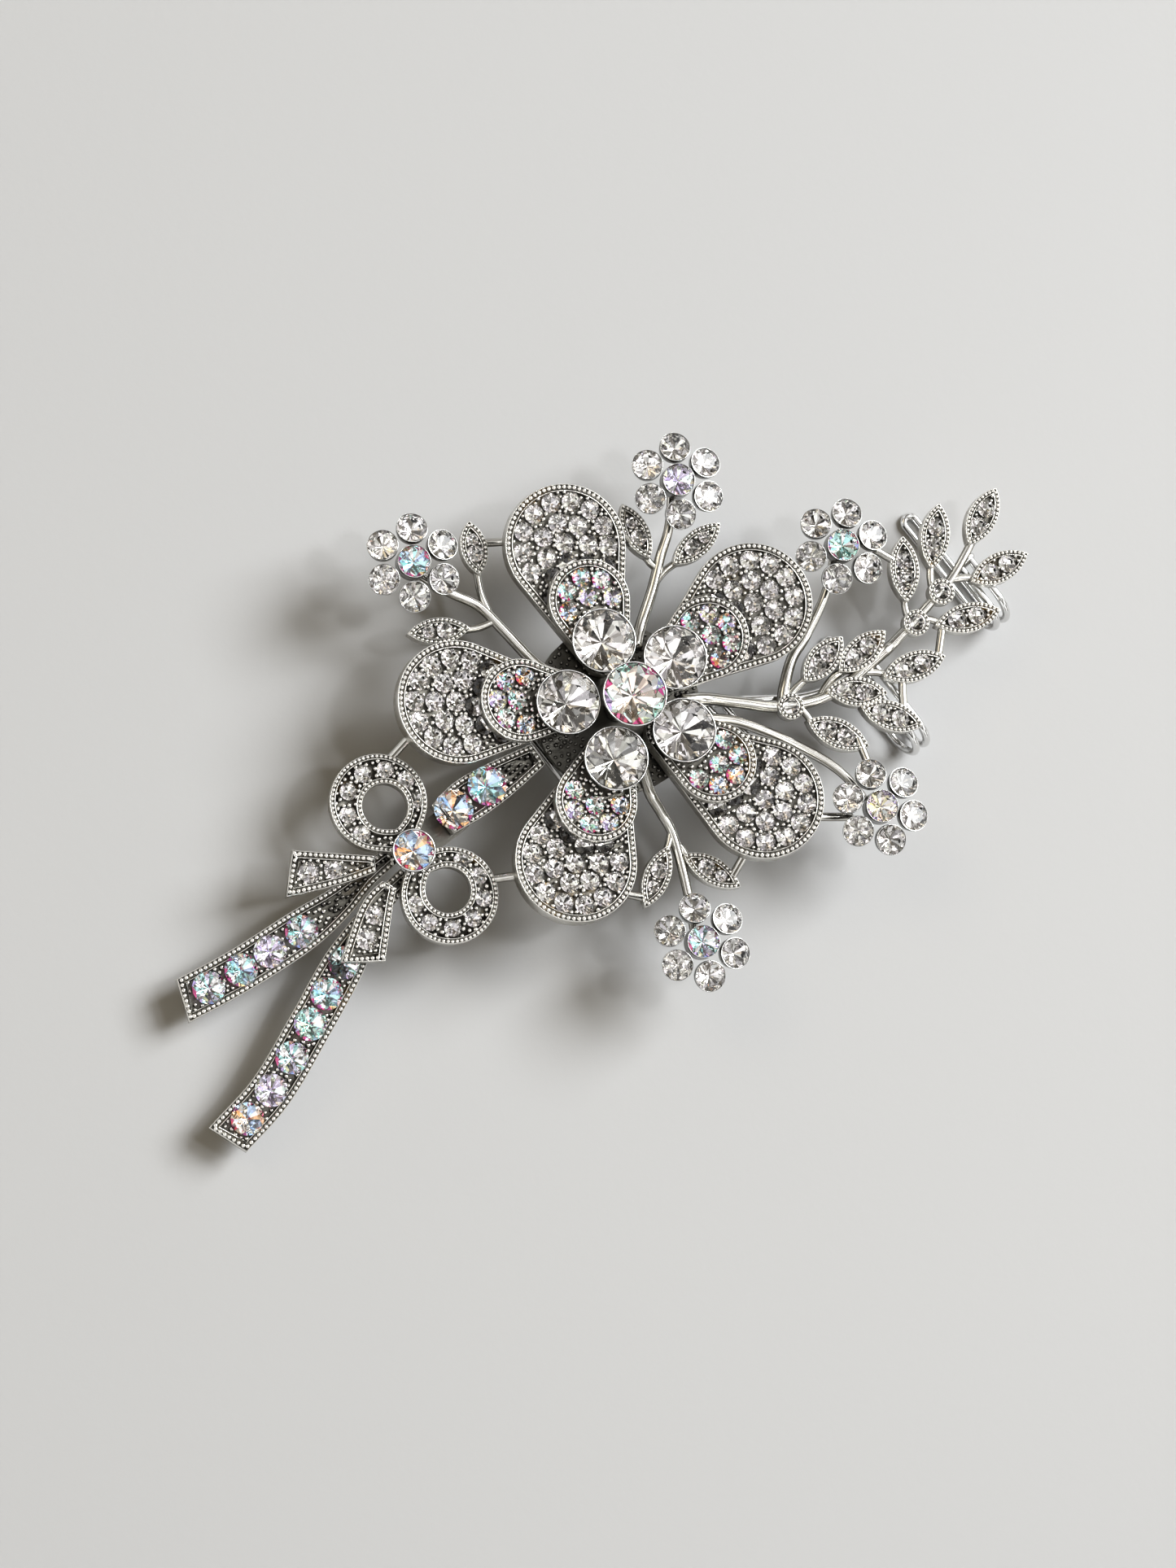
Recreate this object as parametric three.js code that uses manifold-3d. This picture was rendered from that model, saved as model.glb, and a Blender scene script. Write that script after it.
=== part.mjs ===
// Decorative hair pin: a stone-set flower spray with a ribbon bow, carried on four wire prongs.
// Millimetres. +X runs from the ribbon ends to the spray tip, +Y across, +Z out of the face.
// Pieces are placed from the middle of the flower, and the whole is moved onto its origin at the end.
import * as THREE from 'three';
import { mergeVertices } from 'three/addons/utils/BufferGeometryUtils.js';
import Module from 'manifold-3d';

const wasm = await Module();
wasm.setup();

// ---- Driving dimensions ----
const solderGap = 0.3; // left between two pieces that are soldered together
const wireDiameter = 0.9;
const hairGap = 5.1; // clear height between the two runs of a prong
const strandSpacing = 1.6; // between the middles of a prong's two strands
const footLength = 17.4; // of a prong's lower run, from the outside of its bend to its tip
const spineDiameter = 1.2;
const spineRoute = [[46, -11.2], [37, -12.8], [29, -13.8], [20, -12.6], [10, -6.2], [0, -2.2], [-9, -0.6]];
const prongs = [
  { x: 44.8, bendY: -20 },
  { x: 27.4, bendY: -25.6 },
  { x: 10, bendY: -20 },
  { x: -7.4, bendY: -9.5 },
];

const plateRadius = 9.8;
const plateThickness = 1;
const petalAngles = [0, 72, 143, 214, 288];
const petalTilt = 6; // degrees that a petal rises outwards
const petalRootAt = 6; // from the flower's middle to the middle of a petal's root
const outerPetal = { endAt: 19.4, endRadius: 7, rootRadius: 2.2, height: 2.3, rim: 0.7, recess: 0.4 };
const innerPetal = { endAt: 12.3, endRadius: 4.7, height: 1.7, rim: 0.6, recess: 0.35 };
const innerRootInset = 1.35; // of an inner petal's root from the outside of its large stone's cup
const innerRootOffset = 1.103; // from its root's middle out to the cup's
const ringTurn = 4; // degrees from a petal's middle line to its large stone
const ringCupGap = 0.45; // between neighbours, if the large stones' cups were evenly spaced
const postDiameter = 3.2;

const ringStone = { diameter: 7, crown: 1.2, pavilion: 2.6, segments: 16 };
const centerStone = { diameter: 7, crown: 1.2, pavilion: 2.6, segments: 16 };
const centerRise = 2.45; // of the middle stone above the five round it
const ribbonStone = { diameter: 4.5, crown: 0.8, pavilion: 1.3, segments: 12 };
const floretStone = { diameter: 3.6, crown: 0.6, pavilion: 1.3, segments: 12 };
const floretRimStone = 3.4; // diameter of each of the six round a floret's middle
const girdleShare = 0.03; // of a stone's diameter, for the height of its edge
const tableShare = 0.56; // of a stone's radius, for that of its flat top
const cup = {
  wall: 0.3, clearance: 0.15, floor: 0.4, floorRadius: 0.4, lip: 0.1, chamfer: 0.5, segments: 20,
};
const floretCup = { height: 1.9, seat: 0.5, tilt: 12, wall: 0.2, gap: 0.1, segments: 9 };
const floretLift = 2.7; // from the castings' backs to a floret's underside
const floretCenterRise = 2.6; // from a floret's underside to its middle stone's edge

const stemDiameter = 1.5;
const twigDiameter = 1;
const leaf = { width: 3.5, height: 1.9, rim: 0.45, recess: 0.35 };
const smallLeafWidth = 3.1;
const budDiameter = 3.1; // round seat for a single stone on a spray
const ribbon = { height: 2, rim: 0.55, recess: 0.35 };
const streamerHeight = 1.6;
const streamerDroop = { fall: 2.5, from: 0.25, power: 1.2 }; // to the far end, from a share of the length
const stemRootGap = 0.5; // from the back plate's edge to the end of a stem's middle line
const cutterHeight = 12; // tall enough to pass right through a petal

// ---- Heights that follow ----
const lowerRunZ = wireDiameter / 2;
const upperRunZ = 1.5 * wireDiameter + hairGap;
const backZ = 2 * wireDiameter + hairGap + solderGap;
const spineZ = backZ - solderGap - spineDiameter / 2;
const tiltRise = Math.tan(THREE.MathUtils.degToRad(petalTilt));
const floretHeight = backZ + floretLift;
const petalZ = backZ + plateThickness + solderGap + outerPetal.rootRadius * tiltRise;
const cupRadius = (stone) => stone.diameter / 2 + cup.clearance + cup.wall;
const ringRadius = (cupRadius(ringStone) + ringCupGap / 2) / Math.sin(Math.PI / petalAngles.length);
const ringReach = ringRadius + cupRadius(ringStone);
const ringCupZ = petalZ + outerPetal.height + (ringReach - petalRootAt) * tiltRise + solderGap;
const innerRoot = { at: ringRadius - innerRootOffset, radius: cupRadius(ringStone) - innerRootInset };
const girdleAbove = (stone) => cup.floor + solderGap + stone.pavilion;
const ringGirdleZ = ringCupZ + girdleAbove(ringStone);
const centerGirdleZ = ringGirdleZ + centerRise;

// ---- Layout that follows ----
// The pieces round the flower were laid out for one reach of its petals. As the petals reach further,
// each group of them stands out by as much, in its own direction.
// The florets stand out by as much again as they grow themselves.
const layoutReach = 26.4;
const layoutFloretReach = 5.5;
const spread = outerPetal.endAt + outerPetal.endRadius - layoutReach;
const floretRingAt = (floretRimStone + floretStone.diameter) / 2 + floretCup.gap;
const floretReach = floretRingAt + floretRimStone / 2 + floretCup.wall;
const sprayToward = [24, -14];
const combFollowsFrom = 19; // along X, where the comb starts to follow the sprays

function standOff([x, y], distance = spread) {
  const share = distance / Math.hypot(x, y);
  return [x * share, y * share];
}

// ---- Florets: place, turn of the ring of stones, stem from the floret inwards, leaves base to tip ----
const florets = [
  {
    at: [-9.3, 27], turn: -6, rootAngle: 114, stem: [[-7.4, 22.4], [-5.4, 18.9], [-4.8, 14.7]],
    leaves: [[[-3.3, 21.5], [-0.4, 27.2]], [[-8, 17.4], [-14.2, 21.2]]],
    twigs: [[[-5, 17], [-3, 22.2]], [[-5, 16.4], [-8.8, 17.9]]],
  },
  {
    at: [21.3, 16.3], turn: -4, rootAngle: 35, stem: [[18.1, 12.8], [15.2, 10.7], [12.2, 8.4]],
    leaves: [[[13.8, 11.2], [15.3, 18.2]], [[15.6, 9.1], [23.2, 9.6]]],
    twigs: [[[14, 10], [13.9, 12]], [[13, 8.8], [16.6, 9.1]]],
  },
  {
    at: [32.1, -1.1], turn: -18, rootAt: [17.3, -9.9], stem: [[28.1, -4.3], [23.3, -6.7], [20.2, -7.8]],
    leaves: [],
    twigs: [],
  },
  {
    at: [16.4, -27.3], turn: 8, rootAngle: 317, stem: [[16.3, -21.5], [14.2, -15.9], [10.6, -9.9]],
    leaves: [],
    twigs: [],
  },
  {
    at: [-10, -26.6], turn: 4, rootAngle: 253, stem: [[-6.8, -21.2], [-4, -15.4], [-3.4, -12.4]],
    leaves: [[[-5.4, -15.8], [-12, -19.7]], [[-4.6, -17.6], [-1.7, -24.6]]],
    twigs: [[[-3.9, -14.8], [-6.4, -16.4]], [[-4.2, -15.8], [-4.3, -18.4]]],
  },
];

// ---- Sprays: the stem, leaves base to tip, twigs, and seats for single stones ----
const lowerSpray = {
  rootAngle: 330, stem: [[12.2, -8.2], [15.9, -11.5], [22, -13.9], [30.7, -13.7]],
  leaves: [
    [[19.4, -10.7], [26.4, -9.4]], [[23.4, -12.3], [31, -11.9]], [[27.3, -15.9], [34.9, -18.5]],
    [[22.9, -17], [27.5, -23.2]], [[16.8, -14.4], [20.7, -21.2]], [[20.8, -13], [26.5, -17.7]],
  ],
  twigs: [
    [[16, -11.5], [20.2, -10.6]], [[20, -13.2], [24.4, -12.4]], [[25.5, -13.9], [28.4, -16.2]],
    [[22.5, -14.6], [23.6, -18]], [[17.2, -12.2], [17.3, -15.4]],
  ],
  buds: [[16.3, -12]],
};
const upperSpray = {
  rootAt: [31.1, -13.65], stem: [[34.4, -13.2], [38, -12.6], [42, -11.8], [46.6, -10]],
  leaves: [
    [[35.2, -10.9], [39.8, -4.5]], [[40.1, -9.6], [45.9, -4.1]], [[45.6, -10.1], [52.7, -6.8]],
    [[43, -13.6], [50.8, -15.1]], [[36.2, -15], [43.8, -18.3]],
  ],
  twigs: [
    [[34.2, -13.2], [35.9, -9.9]], [[38.6, -12.4], [41, -8.8]], [[41.6, -12], [44.2, -13.8]],
    [[35.4, -13], [37.4, -15.6]],
  ],
  buds: [[34.6, -13.4], [39.4, -12.4]],
};

// ---- Bow: [x, y, half width] along each band, and where a slanted end leans ----
const knotAt = [-29.5, 1.4];
const bandLine = [[-10.8, 1.4, 1.4], [-16, 1.8, 2.2], [-20.5, 2.2, 2.5], [-24.2, 2.2, 2]];
const bandStonesAt = [[-18, 2.1], [-22.7, 2.3]];
const bandStoneRise = 0.25; // of their edges above the band
const bowLoops = [
  { root: [-29.3, 3.4], end: [-28.8, 8.1], hole: [-28.5, 7.3] },
  { root: [-29.3, -0.8], end: [-28.9, -5], hole: [-28.7, -4.4] },
];
const loopShape = { rootRadius: 1.7, endRadius: 5.5, holeRadius: 2.6, holeRootRadius: 0.9, holeTaper: 1.9 };
const bowTails = [
  { line: [[-33.4, 2.9, 0.9], [-36.8, 4.8, 1.7], [-41.7, 7.9, 2.6]], slant: 0.6 },
  { line: [[-33.6, 0.1, 0.9], [-36.6, -1.3, 1.8], [-41.3, -4.9, 2.4]], slant: -0.7 },
];
const streamers = [
  {
    line: [[-30.8, 2.6, 1.1], [-35, 2.4, 1.3], [-39, 2, 1.85], [-44.1, 2.1, 2.4],
      [-52, 2.8, 2.45], [-59.1, 4, 2.45]],
    slant: 0.5,
  },
  {
    line: [[-30.8, -0.3, 1.1], [-35, -0.9, 1.3], [-39, -2.3, 1.85], [-43.4, -4.1, 2.4], [-49.7, -6.8, 2.45],
      [-57.6, -9.9, 2.45], [-64.7, -11.2, 2.45]],
    slant: -0.4,
  },
];
const strap = { fromX: -30.1, toX: -21.8, y: 1.6, halfWidth: 1.8, thickness: 1 };

// ---- Materials ----
function metal(name, color, roughness) {
  return new THREE.MeshStandardMaterial({ name, color, roughness, metalness: 1 });
}

function crystal(name, color) {
  return new THREE.MeshStandardMaterial({ name, color, roughness: 0.05, metalness: 0.1 });
}

const castMetal = () => metal('darkened_rhodium', 0x8f9193, 0.35);
const brightMetal = () => metal('polished_rhodium', 0xc9cbcd, 0.18);
const wireMetal = () => metal('drawn_wire', 0xb4b6b8, 0.25);
const clearCrystal = () => crystal('clear_crystal', 0xdfe6ea);
const auroraCrystal = () => crystal('aurora_crystal', 0xa9d8cf);

// ---- Shape helpers ----
const vertexWeld = 1e-5;

// Turns a closed geometry into a solid that can be cut and joined.
function toSolid(geometry) {
  const bare = geometry.clone();
  bare.deleteAttribute('normal');
  bare.deleteAttribute('uv');
  const merged = mergeVertices(bare, vertexWeld);
  const corners = [];
  for (let i = 0; i < merged.index.count; i += 3) {
    const [a, b, c] = [0, 1, 2].map((k) => merged.index.getX(i + k));
    if (a !== b && b !== c && c !== a) {
      corners.push(a, b, c);
    }
  }
  return new wasm.Manifold(new wasm.Mesh({
    numProp: 3,
    vertProperties: Float32Array.from(merged.attributes.position.array),
    triVerts: Uint32Array.from(corners),
  }));
}

function toGeometry(solid) {
  const mesh = solid.getMesh();
  const geometry = new THREE.BufferGeometry();
  geometry.setAttribute('position', new THREE.BufferAttribute(Float32Array.from(mesh.vertProperties), 3));
  geometry.setIndex(new THREE.BufferAttribute(Uint32Array.from(mesh.triVerts), 1));
  geometry.computeVertexNormals();
  return geometry;
}

function joined(geometries) {
  return toGeometry(geometries.map(toSolid).reduce((whole, piece) => whole.add(piece)));
}

function cutBy(geometry, tool) {
  return toGeometry(toSolid(geometry).subtract(toSolid(tool)));
}

// Skins rings of equally many points, each counterclockwise seen from above.
// An open stack gets a flat cap at each end. A looped one joins its last ring to its first.
function skin(rings, looped = false) {
  const count = rings[0].length;
  const index = [];
  const spans = looped ? rings.length : rings.length - 1;
  for (let r = 0; r < spans; r++) {
    const low = r * count;
    const high = ((r + 1) % rings.length) * count;
    for (let i = 0; i < count; i++) {
      const j = (i + 1) % count;
      index.push(low + i, low + j, high + j, low + i, high + j, high + i);
    }
  }
  if (!looped) {
    const top = (rings.length - 1) * count;
    for (const [a, b, c] of THREE.ShapeUtils.triangulateShape(rings[0], [])) {
      index.push(a, c, b);
    }
    for (const [a, b, c] of THREE.ShapeUtils.triangulateShape(rings.at(-1), [])) {
      index.push(top + a, top + b, top + c);
    }
  }
  const geometry = new THREE.BufferGeometry().setFromPoints(rings.flat());
  geometry.setIndex(index);
  geometry.computeVertexNormals();
  return geometry;
}

function arc(center, radius, from, to, steps) {
  return Array.from({ length: steps + 1 }, (_, i) => {
    const angle = from + ((to - from) * i) / steps;
    return new THREE.Vector2(center[0] + radius * Math.cos(angle), center[1] + radius * Math.sin(angle));
  });
}

// A teardrop: a small round root at the first point and a large round end at the second.
function teardrop(root, end, rootRadius, endRadius, inset) {
  const along = Math.atan2(end[1] - root[1], end[0] - root[0]);
  const length = Math.hypot(end[0] - root[0], end[1] - root[1]);
  const spread = Math.acos((rootRadius - endRadius) / length);
  return [
    ...arc(end, endRadius - inset, along - spread, along + spread, 15),
    ...arc(root, rootRadius - inset, along + spread, along + 2 * Math.PI - spread, 5),
  ];
}

// A pointed leaf outline: two equal arcs that meet at the base and the tip.
function marquise(base, tip, width, inset) {
  const half = Math.hypot(tip[0] - base[0], tip[1] - base[1]) / 2;
  const radius = (half * half + (width * width) / 4) / width;
  const offset = radius - width / 2;
  const along = Math.atan2(tip[1] - base[1], tip[0] - base[0]);
  const middle = [(base[0] + tip[0]) / 2, (base[1] + tip[1]) / 2];
  const sweep = Math.acos(offset / (radius - inset));
  const outline = [];
  for (const side of [-1, 1]) {
    const facing = along + (side * Math.PI) / 2;
    const center = [middle[0] - offset * Math.cos(facing), middle[1] - offset * Math.sin(facing)];
    outline.push(...arc(center, radius - inset, facing - sweep, facing + sweep, 5).slice(0, -1));
  }
  return outline;
}

const lifted = (outline, z) => outline.map((p) => new THREE.Vector3(p.x, p.y, z));

// A plate with a raised rim. outlineAt(inset) gives its outline, moved inwards by the inset.
function rimmedPlate(outlineAt, shape, z = 0) {
  const field = z + shape.height - shape.recess;
  return skin([
    lifted(outlineAt(0), z),
    lifted(outlineAt(0), z + shape.height),
    lifted(outlineAt(shape.rim), z + shape.height),
    lifted(outlineAt(shape.rim), field),
  ]);
}

// A band along a line of [x, y, half width], with a raised rim and a slanted far end.
function rimmedBand(line, slant, shape, undersideAt) {
  const curve = new THREE.CatmullRomCurve3(line.map(([x, y, w]) => new THREE.Vector3(x, y, w)));
  const steps = 2 * (line.length - 1);
  const ring = (inset, height) => {
    const edges = { left: [], right: [] };
    for (let i = 0; i <= steps; i++) {
      const t = i / steps;
      const place = curve.getPoint(t);
      const tangent = curve.getTangent(t);
      const ahead = new THREE.Vector2(tangent.x, tangent.y).normalize();
      const ends = (i === 0 ? inset : 0) - (i === steps ? inset : 0);
      const lean = i === steps ? slant : 0;
      const z = undersideAt(t) + height;
      for (const [side, list] of [[1, edges.left], [-1, edges.right]]) {
        const out = side * (place.z - inset);
        const on = ends + side * lean;
        const x = place.x + ahead.x * on - ahead.y * out;
        const y = place.y + ahead.y * on + ahead.x * out;
        list.push(new THREE.Vector3(x, y, z));
      }
    }
    return [...edges.right, ...edges.left.reverse()];
  };
  return skin([
    ring(0, 0),
    ring(0, shape.height),
    ring(shape.rim, shape.height),
    ring(shape.rim, shape.height - shape.recess),
  ]);
}

// A round bar along a curve.
function bar(curve, diameter, steps, sides = 8) {
  const section = new THREE.Shape(arc([0, 0], diameter / 2, 0, 2 * Math.PI, sides).slice(0, -1));
  return new THREE.ExtrudeGeometry(section, { steps, extrudePath: curve, bevelEnabled: false });
}

function turned(profile, segments) {
  const points = profile.map(([r, z]) => new THREE.Vector2(r, z));
  return new THREE.LatheGeometry(points, segments).rotateX(Math.PI / 2);
}

// A curve whose steps fall on its own points, so that a straight run takes a single step.
class Route extends THREE.Curve {
  constructor(points) {
    super();
    this.points = points;
  }

  getPointAt(t, target = new THREE.Vector3()) {
    return target.copy(this.points[Math.round(t * (this.points.length - 1))]);
  }

  getTangentAt(t, target = new THREE.Vector3()) {
    const last = this.points.length - 1;
    const i = Math.round(t * last);
    const here = this.points[i];
    const arriving = here.clone().sub(this.points[Math.max(i - 1, 0)]).normalize();
    const leaving = this.points[Math.min(i + 1, last)].clone().sub(here).normalize();
    return target.addVectors(arriving, leaving).normalize();
  }
}

// ---- Stones and the cups that hold them ----
function stoneGeometry(stone) {
  const radius = stone.diameter / 2;
  const edge = girdleShare * stone.diameter;
  const table = tableShare * radius;
  return turned([
    [0, -stone.pavilion], [radius, -edge], [radius, 0], [table, stone.crown], [0, stone.crown],
  ], stone.segments);
}

// The cup's floor is at zero, and its stone's edge comes girdleAbove(stone) over that.
function cupGeometry(stone, outside = null) {
  const radius = cupRadius(stone);
  const inside = radius - cup.wall;
  const edgeZ = girdleAbove(stone);
  const shoulderZ = edgeZ - girdleShare * stone.diameter - cup.clearance;
  return turned([
    ...(outside ?? [[0, 0], [radius, 0]]),
    [radius, edgeZ + cup.lip], [inside, edgeZ + cup.lip], [inside, shoulderZ],
    [cup.floorRadius, cup.floor], [0, cup.floor],
  ], cup.segments);
}

// The middle cup narrows below to pass between the five cups round it.
function centerCupGeometry() {
  const radius = cupRadius(centerStone);
  const neck = ringRadius - cupRadius(ringStone) - solderGap;
  const neckZ = ringGirdleZ + cup.lip - (centerGirdleZ - girdleAbove(centerStone));
  const flareZ = neckZ + radius - neck;
  return cupGeometry(centerStone, [[0, 0], [neck - cup.chamfer, 0], [neck, neckZ], [radius, flareZ]]);
}

// ---- The model, placed from the flower's middle ----
const whole = new THREE.Group();
const pin = new THREE.Group();
whole.add(pin);

function place(parent, name, geometry, material, position = [0, 0, 0]) {
  const mesh = new THREE.Mesh(geometry, material);
  mesh.name = name;
  mesh.position.set(...position);
  parent.add(mesh);
  return mesh;
}

const radians = THREE.MathUtils.degToRad;
const polar = (radius, degrees) => [radius * Math.cos(radians(degrees)), radius * Math.sin(radians(degrees))];

function addBackPlate() {
  const plate = turned([
    [0, 0], [plateRadius, 0], [plateRadius, plateThickness], [0, plateThickness],
  ], 30);
  place(pin, 'back_plate', plate, castMetal(), [0, 0, backZ]);
}

function petalGeometry(petal, root) {
  const [from, to] = [root.at - petalRootAt, petal.endAt - petalRootAt];
  const outlineAt = (inset) => teardrop([from, 0], [to, 0], root.radius, petal.endRadius, inset);
  return rimmedPlate(outlineAt, petal);
}

// An inner petal is cut away round its large stone's cup.
function innerPetalGeometry() {
  const radius = cupRadius(ringStone) + solderGap;
  const clearance = new THREE.CylinderGeometry(radius, radius, cutterHeight, cup.segments);
  clearance.rotateX(Math.PI / 2);
  const [x, y] = polar(ringRadius, ringTurn);
  clearance.translate(x - petalRootAt, y, 0).rotateY(radians(petalTilt));
  clearance.translate(0, 0, -outerPetal.height - solderGap);
  return cutBy(petalGeometry(innerPetal, innerRoot), clearance);
}

function addPetals() {
  const outerRoot = { at: petalRootAt, radius: outerPetal.rootRadius };
  const innerShape = innerPetalGeometry();
  const innerSeat = [0, 0, outerPetal.height + solderGap];
  petalAngles.forEach((angle, i) => {
    const spoke = new THREE.Group();
    spoke.rotation.z = radians(angle);
    pin.add(spoke);
    const seat = new THREE.Group();
    seat.position.set(petalRootAt, 0, petalZ);
    seat.rotation.y = -radians(petalTilt);
    spoke.add(seat);
    place(seat, `outer_petal_${i + 1}`, petalGeometry(outerPetal, outerRoot), castMetal());
    place(seat, `inner_petal_${i + 1}`, innerShape.clone(), castMetal(), innerSeat);
  });
}

function addCupAndStone(parent, name, stone, makeCup, material, [x, y], girdleZ) {
  place(parent, `${name}_cup`, makeCup(), brightMetal(), [x, y, girdleZ - girdleAbove(stone)]);
  place(parent, `${name}_stone`, stoneGeometry(stone), material, [x, y, girdleZ]);
}

function addFlowerStones() {
  petalAngles.forEach((angle, i) => {
    const at = polar(ringRadius, angle + ringTurn);
    const makeCup = () => cupGeometry(ringStone);
    addCupAndStone(pin, `ring_${i + 1}`, ringStone, makeCup, clearCrystal(), at, ringGirdleZ);
  });
  addCupAndStone(pin, 'center', centerStone, centerCupGeometry, auroraCrystal(), [0, 0], centerGirdleZ);
  const postZ = backZ + plateThickness + solderGap;
  const postTop = centerGirdleZ - girdleAbove(centerStone) - solderGap;
  const post = turned([
    [0, 0], [postDiameter / 2, 0], [postDiameter / 2, postTop - postZ], [0, postTop - postZ],
  ], 12);
  place(pin, 'center_post', post, castMetal(), [0, 0, postZ]);
}

// Six small cups lean outwards round a taller one. They are cast as a single piece.
function floretGeometry() {
  const rimRadius = floretRimStone / 2 + floretCup.wall;
  const rimCup = turned([
    [0, 0], [rimRadius, 0], [rimRadius, floretCup.height],
    [rimRadius - floretCup.wall, floretCup.height], [0, floretCup.height - floretCup.seat],
  ], floretCup.segments);
  rimCup.rotateY(radians(floretCup.tilt));
  rimCup.translate(floretRingAt, 0, rimRadius * Math.sin(radians(floretCup.tilt)));
  const pieces = Array.from({ length: 6 }, (_, i) => rimCup.clone().rotateZ((i * Math.PI) / 3));
  const seatFloor = floretCenterRise - floretStone.pavilion - solderGap;
  const middleRadius = floretStone.diameter / 2 + cup.clearance + floretCup.wall;
  const middleCup = turned([
    [0, 0], [middleRadius, 0], [middleRadius, floretCenterRise + cup.lip],
    [middleRadius - floretCup.wall, floretCenterRise + cup.lip],
    [middleRadius - floretCup.wall, floretCenterRise - cup.clearance - floretCup.gap], [0, seatFloor],
  ], floretStone.segments);
  return joined([middleCup, ...pieces]);
}

function leafGeometry([base, tip], width, z) {
  return rimmedPlate((inset) => marquise(base, tip, width, inset), leaf, z);
}

function twigGeometry([from, to]) {
  const z = backZ + stemDiameter / 2;
  const path = new THREE.LineCurve3(new THREE.Vector3(...from, z), new THREE.Vector3(...to, z));
  return bar(path, twigDiameter, 1, 6);
}

// Holds the pieces that stand out together from the flower's middle.
function standOffGroup(toward, distance = spread) {
  const group = new THREE.Group();
  group.position.set(...standOff(toward, distance), 0);
  pin.add(group);
  return group;
}

// Where a stem starts in its group: at the edge of the back plate, or at a point on the lower spray.
function stemRoot(piece, group) {
  const [dx, dy] = piece.rootAt ? standOff(sprayToward) : [0, 0];
  const [x, y] = piece.rootAt ?? polar(plateRadius + stemRootGap, piece.rootAngle);
  return [x + dx - group.position.x, y + dy - group.position.y];
}

function addFloret(floret, number) {
  const [x, y] = floret.at;
  const group = standOffGroup(floret.at, spread + floretReach - layoutFloretReach);
  const cups = floretGeometry().rotateZ(radians(floret.turn));
  place(group, `floret_${number}_cups`, cups, brightMetal(), [x, y, floretHeight]);
  const stoneZ = floretHeight + floretCenterRise;
  const stone = stoneGeometry(floretStone).rotateZ(radians(floret.turn));
  place(group, `floret_${number}_stone`, stone, auroraCrystal(), [x, y, stoneZ]);
  const lowZ = backZ + stemDiameter / 2;
  const highZ = floretHeight - solderGap - stemDiameter / 2;
  const points = [
    new THREE.Vector3(x, y, highZ),
    ...floret.stem.map(([sx, sy], i) => new THREE.Vector3(sx, sy, i === 0 ? (lowZ + highZ) / 2 : lowZ)),
    new THREE.Vector3(...stemRoot(floret, group), lowZ),
  ];
  const stem = bar(new THREE.CatmullRomCurve3(points), stemDiameter, 14);
  const leaves = floret.leaves.map((ends) => leafGeometry(ends, smallLeafWidth, backZ));
  const twigs = floret.twigs.map(twigGeometry);
  place(group, `floret_${number}_stem`, joined([stem, ...leaves, ...twigs]), castMetal());
}

function addSpray(name, spray) {
  const z = backZ + stemDiameter / 2;
  const group = standOffGroup(sprayToward);
  const points = [stemRoot(spray, group), ...spray.stem].map(([x, y]) => new THREE.Vector3(x, y, z));
  const stem = bar(new THREE.CatmullRomCurve3(points), stemDiameter, 14);
  const leaves = spray.leaves.map((ends) => leafGeometry(ends, leaf.width, backZ));
  const budOutline = (at) => (inset) => arc(at, budDiameter / 2 - inset, 0, 2 * Math.PI, 10).slice(0, -1);
  const buds = spray.buds.map((at) => rimmedPlate(budOutline(at), leaf, backZ));
  place(group, name, joined([stem, ...leaves, ...buds, ...spray.twigs.map(twigGeometry)]), castMetal());
}

function loopGeometry({ root, end, hole }) {
  const toRoot = new THREE.Vector2(root[0] - hole[0], root[1] - hole[1]).setLength(loopShape.holeTaper);
  const holeRoot = [hole[0] + toRoot.x, hole[1] + toRoot.y];
  const outer = (inset) => teardrop(root, end, loopShape.rootRadius, loopShape.endRadius, inset);
  const inner = (inset) => teardrop(holeRoot, hole, loopShape.holeRootRadius, loopShape.holeRadius, -inset);
  const top = ribbon.height;
  const field = top - ribbon.recess;
  return skin([
    lifted(outer(0), 0), lifted(outer(0), top),
    lifted(outer(ribbon.rim), top), lifted(outer(ribbon.rim), field),
    lifted(inner(ribbon.rim), field), lifted(inner(ribbon.rim), top),
    lifted(inner(0), top), lifted(inner(0), 0),
  ], true);
}

// The band is hollowed so that its two stones sit down into it. Its root stays by the back plate.
function bandGeometry() {
  const radius = ribbonStone.diameter / 2 + solderGap;
  const edge = girdleShare * ribbonStone.diameter;
  const hollow = turned([
    [0, -ribbonStone.pavilion - solderGap], [radius, -edge], [radius, ribbon.height], [0, ribbon.height],
  ], ribbonStone.segments);
  const z = backZ + ribbon.height + bandStoneRise;
  const [[rootX, rootY, rootWidth], ...rest] = bandLine;
  const band = rimmedBand([[rootX + spread, rootY, rootWidth], ...rest], 0, ribbon, () => backZ);
  return bandStonesAt.reduce((piece, at) => cutBy(piece, hollow.clone().translate(...at, z)), band);
}

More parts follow.
